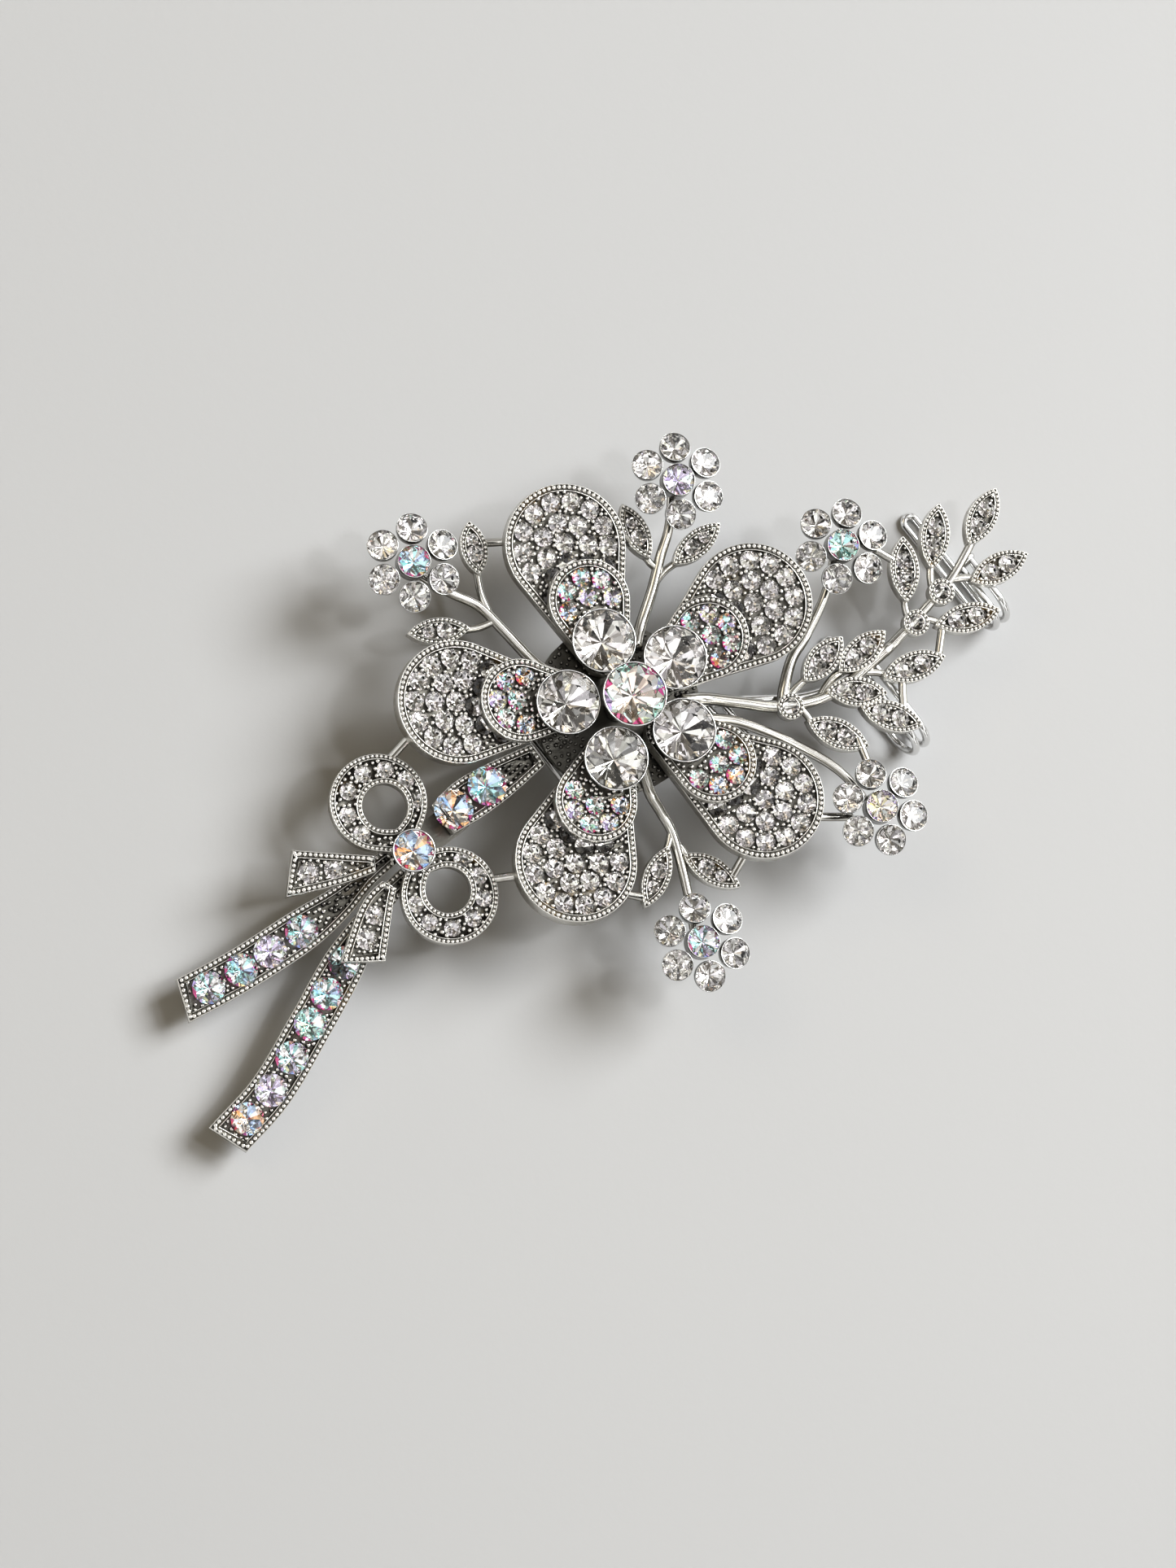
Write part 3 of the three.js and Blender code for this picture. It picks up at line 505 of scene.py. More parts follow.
def skinned(rings, zones, looped=False, capZones=(0, 0)):
    # joins rings of equally many points; zones give the finish of each band, capZones those of the two ends
    shape = bmesh.new()
    rows = [[shape.verts.new(point) for point in ring] for ring in rings]
    count = len(rows[0])
    spans = len(rows) if looped else len(rows) - 1
    for r in range(spans):
        low, high = rows[r], rows[(r + 1) % len(rows)]
        for i in range(count):
            j = (i + 1) % count
            face = shape.faces.new((low[i], low[j], high[j], high[i]))
            face.material_index = zones[r]
            face.smooth = True
    if not looped:
        shape.faces.new(list(reversed(rows[0]))).material_index = capZones[0]
        shape.faces.new(rows[-1]).material_index = capZones[1]
    return shape


def toMesh(shape, name, recalculate=False):
    if recalculate:
        bmesh.ops.recalc_face_normals(shape, faces=shape.faces)
    mesh = bpy.data.meshes.new(name)
    shape.to_mesh(mesh)
    shape.free()
    return mesh


def pointCloud(points, values):
    # points with a size, and where given a depth and a turn
    mesh = bpy.data.meshes.new("points")
    mesh.from_pydata([tuple(p) for p in points], [], [])
    for label in ("size", "depth"):
        if label in values:
            number = mesh.attributes.new(label, "FLOAT", "POINT")
            number.data.foreach_set("value", values[label])
    if "turn" in values:
        turn = mesh.attributes.new("turn", "FLOAT_VECTOR", "POINT")
        turn.data.foreach_set("vector", [c for v in values["turn"] for c in v])
    return mesh


def pathMesh(paths):
    # paths are (points, whether closed)
    points, edges = [], []
    for path, closed in paths:
        start = len(points)
        points += [tuple(p) for p in path]
        edges += [(start + i, start + (i + 1) % len(path)) for i in range(len(path) - (0 if closed else 1))]
    mesh = bpy.data.meshes.new("path")
    mesh.from_pydata(points, edges, [])
    return mesh


def joinedMesh(name, parts, slots):
    # parts are (mesh, finish name or None); None keeps the mesh's own slots
    whole = bmesh.new()
    for mesh, finish in parts:
        start = len(whole.faces)
        whole.from_mesh(mesh)
        whole.faces.ensure_lookup_table()
        if finish is not None:
            for face in whole.faces[start:]:
                face.material_index = slots.index(finish)
    result = bpy.data.meshes.new(name)
    whole.to_mesh(result)
    whole.free()
    for finish in slots:
        result.materials.append(finishes[finish])
    return result


def addPiece(name, mesh, nodes=()):
    piece = bpy.data.objects.new(name, mesh)
    scene.collection.objects.link(piece)
    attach(piece, "root")
    if nodes:
        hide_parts(*nodes)
    return piece


cutStone = {"table": 0.28, "tableZ": 0.17, "starRadius": 0.43, "culetZ": -0.35, "keelRadius": 0.26,
            "largeFrom": 3.0, "largeKeelRadius": 0.33, "largeKeelDrop": 0.02}
auroraTints = {
    "peach": (1.0, 0.90, 0.80), "orange": (1.0, 0.64, 0.38), "mint": (0.74, 0.97, 0.90),
    "paleMint": (0.90, 0.99, 0.96),
    "ice": (0.94, 1.0, 0.99), "wine": (0.60, 0.06, 0.24), "violet": (0.55, 0.42, 0.82),
    "rose": (1.0, 0.72, 0.72),
    "paleRose": (1.0, 0.92, 0.90), "straw": (1.0, 0.95, 0.66), "teal": (0.55, 0.88, 0.88),
    "azure": (0.55, 0.70, 0.95),
    "amber": (1.0, 0.68, 0.38), "snow": (0.97, 0.97, 0.97), "smoke": (0.45, 0.42, 0.42),
    "lilac": (0.82, 0.74, 0.96),
}


def circlePoint(radius, degrees, z):
    angle = math.radians(degrees)
    return Vector((radius * math.cos(angle), radius * math.sin(angle), z))


def stoneFacets(large):
    # eight-fold brilliant cut, one unit across; each facet is (points, zone, azimuth)
    # a large stone has split mains
    c = cutStone
    slope = c["tableZ"] / (0.5 - c["table"])
    starZ = slope * (0.5 - c["starRadius"] * math.cos(math.pi / 8))
    keelSlope = -c["culetZ"] / 0.5
    keelRadius = c["largeKeelRadius"] if large else c["keelRadius"]
    keelDrop = c["largeKeelDrop"] if large else 0
    keelZ = c["culetZ"] + keelSlope * keelRadius * math.cos(math.pi / 8) - keelDrop
    table = [circlePoint(c["table"], 45 * k, c["tableZ"]) for k in range(8)]
    star = [circlePoint(c["starRadius"], 45 * k + 22.5, starZ) for k in range(8)]
    edge = [circlePoint(0.5, 22.5 * k, 0) for k in range(16)]
    keel = [circlePoint(keelRadius, 45 * k + 22.5, keelZ) for k in range(8)]
    culet = Vector((0, 0, c["culetZ"]))
    facets = [(table, "table", 0)]
    for k in range(8):
        n, before = (k + 1) % 8, (k - 1) % 8
        a, b, d = 2 * k, (2 * k + 1) % 16, (2 * k + 2) % 16
        facets.append(([table[k], star[k], table[n]], "star", 45 * k + 22.5))
        facets.append(([table[k], star[before], edge[a], star[k]], "kite", 45 * k))
        facets.append(([star[k], edge[a], edge[b]], "rim", 45 * k + 11))
        facets.append(([star[k], edge[b], edge[d]], "rim", 45 * k + 34))
        if large:
            facets.append(([culet, edge[a], keel[before]], "heart", 45 * k - 8))
            facets.append(([culet, keel[k], edge[a]], "heart", 45 * k + 8))
        else:
            facets.append(([culet, keel[k], edge[a], keel[before]], "heart", 45 * k))
        facets.append(([keel[k], edge[b], edge[a]], "pavilion", 45 * k + 11))
        facets.append(([keel[k], edge[d], edge[b]], "pavilion", 45 * k + 34))
    return facets


def auroraFoilReflection(zone, azimuth, rng, tone):
    # painted reflection: the foil turns wine and violet on the side away from the key light, and mint on the
    # side towards it
    t = auroraTints
    away = math.cos(math.radians(azimuth - 185))
    if zone == "heart":
        return t[rng.choice(tone["heart"])]
    if zone == "pavilion":
        return t[rng.choice(tone["away"] if away > 0.42 else tone["back"])]
    if zone == "table":
        return t[tone["table"]]
    return t[rng.choice(["paleRose", "snow"] if away > 0.3 else ["ice", "paleMint", "snow"])]


def clearFoilReflection(zone, azimuth, rng):
    # painted reflection: foil facets get random greys for the bright and dark room they would mirror, crown
    # facets a near-white tint
    if zone in ("heart", "pavilion"):
        shade = rng.choice([1.0, 0.97, 0.92, 0.80, 0.42])
        return (shade, shade * rng.uniform(0.96, 1.0), shade * rng.uniform(0.92, 1.0))
    shade = rng.uniform(0.93, 1.0)
    return (shade, shade, shade)


# painted reflections: per-facet foil and crown colours of each aurora stone, by side to the key light
auroraTones = [
    {"table": "paleRose", "away": ["wine", "violet", "wine"], "heart": ["peach", "snow", "orange", "snow"],
     "back": ["mint", "ice", "mint", "ice", "paleMint", "mint"]},
    {"table": "snow", "away": ["wine", "amber", "rose"], "heart": ["teal", "azure", "snow", "snow"],
     "back": ["snow", "ice", "snow", "rose", "amber"]},
    {"table": "snow", "away": ["lilac", "rose", "snow"], "heart": ["snow", "lilac", "ice"],
     "back": ["snow", "ice", "straw", "straw", "snow", "smoke"]},
    {"table": "snow", "away": ["wine", "violet", "lilac"], "heart": ["teal", "snow", "peach", "mint"],
     "back": ["snow", "mint", "snow", "peach", "rose"]},
    {"table": "snow", "away": ["violet", "lilac", "lilac", "snow"], "heart": ["straw", "snow", "peach"],
     "back": ["ice", "snow", "smoke", "lilac", "straw"]},
    {"table": "snow", "away": ["violet", "snow", "wine"], "heart": ["snow", "teal", "lilac"],
     "back": ["snow", "smoke", "orange", "ice"]},
    {"table": "snow", "away": ["amber", "rose", "wine"], "heart": ["orange", "snow", "peach", "azure"],
     "back": ["snow", "ice", "azure", "snow"]},
]


firstAurora = 31


def makeStone(name, kind, seed, large=False):
    rng = random.Random(seed)
    shape = bmesh.new()
    known = {}
    foiled = shape.faces.layers.int.new("zone")
    tint = shape.loops.layers.float_color.new("tint")
    for points, zone, azimuth in stoneFacets(large):
        corners = []
        for p in points:
            key = (round(p.x, 5), round(p.y, 5), round(p.z, 5))
            if key not in known:
                known[key] = shape.verts.new(p)
            corners.append(known[key])
        face = shape.faces.new(corners)
        face[foiled] = 1 if zone in ("heart", "pavilion") else 0
        # the facet colours are painted reflections, set per stone
        if kind == "aurora":
            color = auroraFoilReflection(zone, azimuth, rng, auroraTones[(seed - firstAurora) % len(auroraTones)])
        else:
            color = clearFoilReflection(zone, azimuth, rng)
        for loop in face.loops:
            loop[tint] = (*color, 1)
    mesh = toMesh(shape, name, recalculate=True)
    flag = mesh.attributes.new("foiled", "BOOLEAN", "FACE")
    flag.data.foreach_set("value", [bool(v.value) for v in mesh.attributes["zone"].data])
    mesh.attributes.remove(mesh.attributes["zone"])
    stone = bpy.data.objects.new(name, mesh)
    scene.collection.objects.link(stone)
    return stone


patterns = {
    "clear": [makeStone("clearCut%d" % i, "clear", 11 + i) for i in range(5)],
    "aurora": [makeStone("auroraCut%d" % i, "aurora", firstAurora + i) for i in range(len(auroraTones))],
    "clearLarge": [makeStone("clearLarge%d" % i, "clear", 61 + i, True) for i in range(5)],
    "auroraLarge": [makeStone("auroraLarge%d" % i, "aurora", firstAurora + i, True)
                    for i in range(len(auroraTones))],
}


def stoneMesh(stones):
    # stones are (frame point, normal, diameter in metres, kind, spin in degrees, pattern)
    whole = bmesh.new()
    groups = {}
    for stone in stones:
        kind = stone[3]
        cut = kind + ("Large" if stone[2] > cutStone["largeFrom"] * mm else "")
        groups.setdefault((kind, cut, stone[5] % len(patterns[cut])), []).append(stone)
    for (kind, cut, pattern), group in sorted(groups.items()):
        turns = []
        for point, normal, size, _, spin, _ in group:
            facing = Vector((0, 0, 1)).rotation_difference(normal).to_matrix()
            turns.append(tuple((facing @ Matrix.Rotation(math.radians(spin), 3, "Z")).to_euler()))
        cloud = pointCloud([s[0] for s in group], {"size": [s[2] for s in group], "turn": turns})
        crown = kind + "Crown"
        mesh = grown(trees["stones"], cloud, stone=patterns[cut][pattern], crown=finishes[crown],
                     foil=finishes["stoneFoil"])
        foils = [f.value for f in mesh.attributes["foiled"].data]
        start = len(whole.faces)
        whole.from_mesh(mesh)
        whole.faces.ensure_lookup_table()
        for i, face in enumerate(whole.faces[start:]):
            face.material_index = stoneSlots.index("stoneFoil" if foils[i] else crown)
            face.smooth = False
    result = bpy.data.meshes.new("stones")
    whole.to_mesh(result)
    whole.free()
    for finish in stoneSlots:
        result.materials.append(finishes[finish])
    return result


print("stones cut")


def arcPoints(center, radius, start, end, steps):
    return [(center[0] + radius * math.cos(start + (end - start) * i / steps),
             center[1] + radius * math.sin(start + (end - start) * i / steps)) for i in range(steps + 1)]


outlineSteps = {"end": 56, "root": 16}


def teardrop(root, end, rootRadius, endRadius, inset):
    along = math.atan2(end[1] - root[1], end[0] - root[0])
    length = math.hypot(end[0] - root[0], end[1] - root[1])
    spread = math.acos((rootRadius - endRadius) / length)
    round1 = arcPoints(end, endRadius - inset, along - spread, along + spread, outlineSteps["end"])
    round2 = arcPoints(root, rootRadius - inset, along + spread, along + 2 * math.pi - spread,
                       outlineSteps["root"])
    sides = 10
    left = [tuple(a + (b - a) * k / sides for a, b in zip(round1[-1], round2[0])) for k in range(1, sides)]
    right = [tuple(a + (b - a) * k / sides for a, b in zip(round2[-1], round1[0])) for k in range(1, sides)]
    return round1 + left + round2 + right


def marquise(base, tip, width, inset):
    half = math.hypot(tip[0] - base[0], tip[1] - base[1]) / 2
    radius = (half * half + width * width / 4) / width
    offset = radius - width / 2
    along = math.atan2(tip[1] - base[1], tip[0] - base[0])
    middle = ((base[0] + tip[0]) / 2, (base[1] + tip[1]) / 2)
    sweep = math.acos(offset / (radius - inset))
    outline = []
    for side in (-1, 1):
        facing = along + side * math.pi / 2
        center = (middle[0] - offset * math.cos(facing), middle[1] - offset * math.sin(facing))
        outline += arcPoints(center, radius - inset, facing - sweep, facing + sweep, 18)[:-1]
    return outline


def splinePoint(points, t):
    # a Catmull-Rom curve through the points, t from 0 to 1
    last = len(points) - 1
    place = min(max(t, 0), 1) * last
    i = min(int(place), last - 1)
    u = place - i
    p1, p2 = points[i], points[i + 1]
    p0 = points[i - 1] if i else [2 * a - b for a, b in zip(p1, p2)]
    p3 = points[i + 2] if i + 2 <= last else [2 * b - a for a, b in zip(p1, p2)]
    return [0.5 * (2 * b + (c - a) * u + (2 * a - 5 * b + 4 * c - d) * u * u
                   + (3 * b - a - 3 * c + d) * u ** 3)
            for a, b, c, d in zip(p0, p1, p2, p3)]


def bandEdges(line, slant, inset, steps=36):
    left, right = [], []
    for i in range(steps + 1):
        t = i / steps
        x, y, w = splinePoint(line, t)
        x1, y1, _ = splinePoint(line, min(t + 0.01, 1))
        x0, y0, _ = splinePoint(line, max(t - 0.01, 0))
        length = math.hypot(x1 - x0, y1 - y0)
        ax, ay = (x1 - x0) / length, (y1 - y0) / length
        near, far = max(0, 1 - i / 3), max(0, 1 - (steps - i) / 3)
        shift = inset * (near - far) if i in (0, steps) else 0
        for side, edge in ((1, left), (-1, right)):
            on = shift + (side * slant * far if far else 0)
            out = side * (w - inset)
            edge.append((x + ax * on - ay * out, y + ay * on + ax * out))
    return right + left[::-1]


def inside(polygon, x, y):
    hit = False
    for (x0, y0), (x1, y1) in zip(polygon, polygon[1:] + polygon[:1]):
        if (y0 > y) != (y1 > y) and x < (x1 - x0) * (y - y0) / (y1 - y0) + x0:
            hit = not hit
    return hit


setting = {
    "granule": (0.21, 0.30), "granuleGap": 0.54, "stoneGap": 0.10,
    "rims": {
        "full": {"beadPitch": 0.60, "beadRadius": 0.27, "beadInset": 0.36, "ledge": 0.70, "margin": 0.92},
        "fine": {"beadPitch": 0.52, "beadRadius": 0.225, "beadInset": 0.27, "ledge": 0.50, "margin": 0.68},
    },
}


def castingMesh(outlineAt, height, field, toFrame, rim, holeAt=None):
    h, ledge = height, rim["ledge"]
    profile = [(0.3, 0), (0.06, 0.1), (0, 0.35), (0, h - 0.35), (0.03, h - 0.08), (0.09, h - 0.06),
               (0.13, h - 0.2),
               (ledge, h - 0.2), (ledge + 0.04, h - 0.06), (ledge + 0.12, h - 0.08), (ledge + 0.18, field)]
    rings = [[toFrame(x, y, z) for x, y in outlineAt(inset)] for inset, z in profile]
    # zone 1, the ledge, inner walls and sunk field, takes the painted hollow shade
    zones = [0, 0, 0, 0, 0, 1, 1, 1, 0, 1]
    if holeAt is None:
        shape = skinned(rings, zones, capZones=(0, 1))
    else:
        rings += [[toFrame(x, y, z) for x, y in holeAt(inset)] for inset, z in reversed(profile)]
        shape = skinned(rings, zones + [1] + zones[::-1] + [0], looped=True)
    return toMesh(shape, "casting", recalculate=True)


def cutAway(mesh, center, radius):
    # takes an upright round well out of a casting; the point is in millimetres from the flower's middle
    tool = turnedShape([(radius, -30), (radius, 30)], 48, lambda x, y,
                       z: placed(center[0] + x, center[1] + y, 12 + z), 1)
    holder = bpy.data.objects.new("well", tool)
    host = bpy.data.objects.new("cut", mesh)
    for item in (holder, host):
        scene.collection.objects.link(item)
    cut = host.modifiers.new("well", "BOOLEAN")
    cut.operation = "DIFFERENCE"
    cut.object = holder
    bpy.context.view_layer.update()
    depsgraph = bpy.context.evaluated_depsgraph_get()
    result = bpy.data.meshes.new_from_object(host.evaluated_get(depsgraph), depsgraph=depsgraph)
    for item in (holder, host):
        bpy.data.objects.remove(item)
    return result


def scatterGranules(outlineAt, stones, rng, margin, holeAt=None):
    # darts thrown inside the rim, kept where they clear the stones and one another
    border = outlineAt(margin)
    hole = holeAt(margin) if holeAt else None
    xs, ys = [p[0] for p in border], [p[1] for p in border]
    low, high = (min(xs), min(ys)), (max(xs), max(ys))
    cell = setting["granuleGap"]
    grid, kept = {}, []
    tries = int((high[0] - low[0]) * (high[1] - low[1]) / cell ** 2 * 9)
    for _ in range(tries):
        x, y = rng.uniform(low[0], high[0]), rng.uniform(low[1], high[1])
        key = (int(x / cell), int(y / cell))
        near = [p for i in (-1, 0, 1) for j in (-1, 0, 1) for p in grid.get((key[0] + i, key[1] + j), [])]
        if any((x - a) ** 2 + (y - b) ** 2 < cell ** 2 for a, b in near):
            continue
        if any((x - s[0]) ** 2 + (y - s[1]) ** 2 < (s[2] / 2 + setting["stoneGap"]) ** 2 for s in stones):
            continue
        if not inside(border, x, y) or (hole and inside(hole, x, y)):
            continue
        grid.setdefault(key, []).append((x, y))
        kept.append((x, y))
    return kept


def granuleMesh(points, height, field, toFrame, rng, finish):
    # every post goes down to half the depth of the field
    spots, sizes, depths = [], [], []
    for x, y in points:
        size = rng.uniform(*setting["granule"])
        z = height - 0.10 - size + rng.uniform(-0.06, 0.05)
        spots.append(toFrame(x, y, z))
        sizes.append(size * mm)
        depths.append((z - field / 2) * mm)
    cloud = pointCloud(spots, {"size": sizes, "depth": depths})
    return grown(trees["granules"], cloud, metal=finishes[finish])


def clearedPaths(points, gap):
    # a closed path, cut into the runs that stay outside a well
    # the well is (x, y, radius) in the frame, in metres
    if gap is None:
        return [(points, True)]
    outside = [math.hypot(p.x - gap[0], p.y - gap[1]) > gap[2] for p in points]
    if all(outside):
        return [(points, True)]
    runs = []
    start = outside.index(False)
    for i in range(len(points)):
        here = (start + i) % len(points)
        if outside[here]:
            if not outside[here - 1]:
                runs.append([])
            runs[-1].append(points[here])
    return [(run, False) for run in runs if len(run) > 1]


granuleClearance = 0.25


def castingParts(spec):
    # spec: outlineAt, height, field, toFrame, stones [(x, y, diameter, kind)], and where wanted
    # rim, holeAt, shaded (where granules take the painted root shade), seed, girdle, and a well (x, y,
    # radius) for a cup that stands through the casting
    rng = random.Random(spec.get("seed", 1))
    toFrame, height, field = spec["toFrame"], spec["height"], spec["field"]
    rim = setting["rims"][spec.get("rim", "full")]
    holeAt, well = spec.get("holeAt"), spec.get("well")
    body = castingMesh(spec["outlineAt"], height, field, toFrame, rim, holeAt)
    if well:
        body = cutAway(body, well[:2], well[2])
    parts = [(body, None)]
    beadZ = height - 0.14
    edges = [spec["outlineAt"](rim["beadInset"])] + ([holeAt(rim["beadInset"])] if holeAt else [])
    gap = None
    if well:
        middle = placed(well[0], well[1], 0)
        gap = (middle.x, middle.y, (well[2] + rim["beadRadius"]) * mm)
    paths = [run for edge in edges for run in clearedPaths([toFrame(x, y, beadZ) for x, y in edge], gap)]
    beads = grown(trees["milgrain"], pathMesh(paths), pitch=rim["beadPitch"] * mm,
                  beadRadius=rim["beadRadius"] * mm, metal=finishes["milgrain"])
    parts.append((beads, "milgrain"))

    def clear(x, y, room):
        spot = toFrame(x, y, height)
        return gap is None or math.hypot(spot.x - gap[0], spot.y - gap[1]) > (well[2] + room) * mm

    stones = [stone for stone in spec["stones"] if clear(stone[0], stone[1], stone[2] / 2)]
    points = [p for p in scatterGranules(spec["outlineAt"], stones, rng, rim["margin"], holeAt)
              if clear(*p, granuleClearance)]
    # painted shade: granules near the roots and joins take the darker root finish
    dark = spec.get("dark", lambda x, y: False)
    for finish, group in (("granules", [p for p in points if not dark(*p)]),
                          ("rootGranules", [p for p in points if dark(*p)])):
        if group:
            parts.append((granuleMesh(group, height, field, toFrame, rng, finish), finish))
    cut = []
    for x, y, diameter, kind in stones:
        if kind == "hole":
            continue
        foot, top = toFrame(x, y, 0), toFrame(x, y, 1)
        girdle = spec.get("girdle", height - 0.2)
        spin = rng.uniform(0, 45) if kind == "clear" else rng.uniform(-25, 25)
        cut.append((toFrame(x, y, girdle), (top - foot).normalized(), diameter * mm, kind, spin,
                    rng.randrange(60)))
    return parts, cut


def addCasting(name, nodes, specs, extra=()):
    parts, cut = list(extra), []
    for spec in specs:
        metal, stones = castingParts(spec)
        parts += metal
        cut += stones
    addPiece(name, joinedMesh(name, parts, metalSlots), nodes)
    if cut:
        addPiece(name + "Stones", stoneMesh(cut))


petals = {
    "angles": (0, 72, 143, 214, 288), "tilt": 6, "rootAt": 6,
    "outer": {"endAt": 19.4, "endRadius": 7, "rootRadius": 2.2, "height": 2.3, "field": 1.2, "stone": 2.25},
    "inner": {"endAt": 12.3, "endRadius": 4.7, "rootRadius": 2.6, "height": 1.7, "field": 0.6, "stone": 2.2},
    "darkUpTo": 5.0, "cupWaist": 3.0,
    "stoneStep": 0.12, "rimOverlap": 0.08, "arcReach": 114, "fillStep": 0.15, "fillOverlap": 0.22,
}


def petalStones(shape, kind):
    # arcs that follow the rim, and then as many more as fit between them, from the tip back
    reach = shape["endAt"] - petals["rootAt"]
    size = shape["stone"]
    step = size + petals["stoneStep"]
    spots = []
    margin = setting["rims"]["full"]["margin"]
    radius = shape["endRadius"] - margin - size / 2 + petals["rimOverlap"]
    while radius > size / 2:
        turn = 2 * math.asin(step / 2 / radius)
        count = int(2 * math.radians(petals["arcReach"]) / turn)
        for k in range(count + 1):
            angle = (k - count / 2) * turn
            spots.append((reach + radius * math.cos(angle), radius * math.sin(angle)))
        radius -= step
    grid = petals["fillStep"]
    for i in range(int((reach + shape["endRadius"]) / grid)):
        for k in range(int(shape["endRadius"] / grid)):
            spots += [(reach + shape["endRadius"] - i * grid, side * k * grid) for side in (1, -1)]
    border = teardrop((0, 0), (reach, 0), shape["rootRadius"], shape["endRadius"],
                      margin + size / 2 - petals["fillOverlap"])
    kept = []
    for x, y in spots:
        clear = all(math.hypot(x - a, y - b) > size + 0.03 for a, b, _, _ in kept)
        if clear and inside(border, x, y):
            kept.append((x, y, size, kind))
    return kept


def petalFrame(angle, baseZ):
    spoke = Matrix.Rotation(math.radians(angle), 4, "Z")
    seat = Matrix.Translation((petals["rootAt"], 0, baseZ)) @ Matrix.Rotation(-math.radians(petals["tilt"]),
                                                                              4, "Y")
    whole = spoke @ seat
    return lambda x, y, z: placed(*(whole @ Vector((x, y, z))))


def makePetals():
    rise = math.tan(math.radians(petals["tilt"]))
    for i, angle in enumerate(petals["angles"]):
        for layer, kind in (("outer", "clear"), ("inner", "aurora")):
            shape = petals[layer]
            node = "%s_petal_%d" % (layer, i + 1)
            reach = shape["endAt"] - petals["rootAt"]
            lift = petals["outer"]["rootRadius"] * rise
            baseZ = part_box("outer_petal_1")[0].z / mm + lift
            if layer == "inner":
                baseZ += petals["outer"]["height"] + 0.3
            ring = boxOf("ring_%d_cup" % (i + 1))
            wellX, wellY, _ = local(ring[0])
            well = (wellX, wellY, petals["cupWaist"]) if layer == "inner" else None
            addCasting(node.replace("_petal_", "Petal"), [node], [{
                "outlineAt": lambda inset, s=shape,
                r=reach: teardrop((0, 0), (r, 0), s["rootRadius"], s["endRadius"], inset),
                "height": shape["height"], "field": shape["field"], "toFrame": petalFrame(angle, baseZ),
                "stones": petalStones(shape, kind), "seed": 100 + i + (50 if layer == "inner" else 0),
                "dark": lambda x, y, outer=layer == "outer": outer and x < petals["darkUpTo"], "well": well,
            }])
    print("petals set")


def turnedShape(profile, segments, toFrame, zone):
    # a profile of (radius, height) turned about its own axis; first and last points lie on the axis
    rings = [[toFrame(r * math.cos(2 * math.pi * k / segments), r * math.sin(2 * math.pi * k / segments), z)
              for k in range(segments)] for r, z in profile if r > 0]
    shape = skinned(rings, [zone] * len(rings), capZones=(zone, zone))
    return toMesh(shape, "turned", recalculate=True)


def tiltedFrame(center, tilt=0, azimuth=0, base=(0, 0, 0)):
    # a small frame at a point, leaning outwards by tilt towards azimuth
    lean = Matrix.Rotation(math.radians(azimuth), 4, "Z") @ Matrix.Rotation(math.radians(tilt), 4, "Y")
    return lambda x, y, z: placed(*(Vector(center) + lean @ Vector((x, y, z))))


def bezelProfile(radius, depth, lip=0.10, wall=0.17):
    # a cup with a thin rolled lip and a conical seat
    return [(radius * 0.4, -depth), (radius * 0.55, -depth), (radius * 0.8, -depth * 0.58),
            (radius + wall, -0.35),
            (radius + wall, lip - 0.06), (radius + wall - 0.05, lip), (radius + wall - 0.11, lip + 0.01),
            (radius + 0.02, lip - 0.05), (radius + 0.01, -0.1), (0.3, -depth + 0.12)]


def makeFlowerStones():
    spins = {1: 10, 2: 3, 3: 18, 4: 7, 5: 14}
    for name in ["ring_%d" % i for i in range(1, 6)] + ["center"]:
        middle, size, low, high = boxOf(name + "_stone")
        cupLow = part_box(name + "_cup")[0].z
        girdle = low.z / mm + 2.6
        x, y, _ = local(middle)
        radius = size.x / 2 / mm
        center = name == "center"
        toFrame = tiltedFrame((x, y, girdle))
        depth = girdle - cupLow / mm
        profile = bezelProfile(radius, depth)
        if center:
            profile = [(1.2, -depth), (2.3, -depth), (2.6, -2.0), (3.4, -0.9)] + profile[3:]
        cupMesh = turnedShape(profile, 64, toFrame, 0)
        addPiece(name.replace("_", "") + "Cup", joinedMesh("cup", [(cupMesh, "brightPlate")], metalSlots),
                       [name + "_cup"])
        kind = "aurora" if center else "clear"
        spin = 0 if center else spins[int(name[-1])]
        tilt = Vector((0, 0, 1))
        mesh = stoneMesh([(toFrame(0, 0, 0), tilt, size.x, kind, spin, 0 if center else int(name[-1]))])
        addPiece(name.replace("_", "") + "Stone", mesh, [name + "_stone"])
    print("flower stones set")


makePetals()
makeFlowerStones()


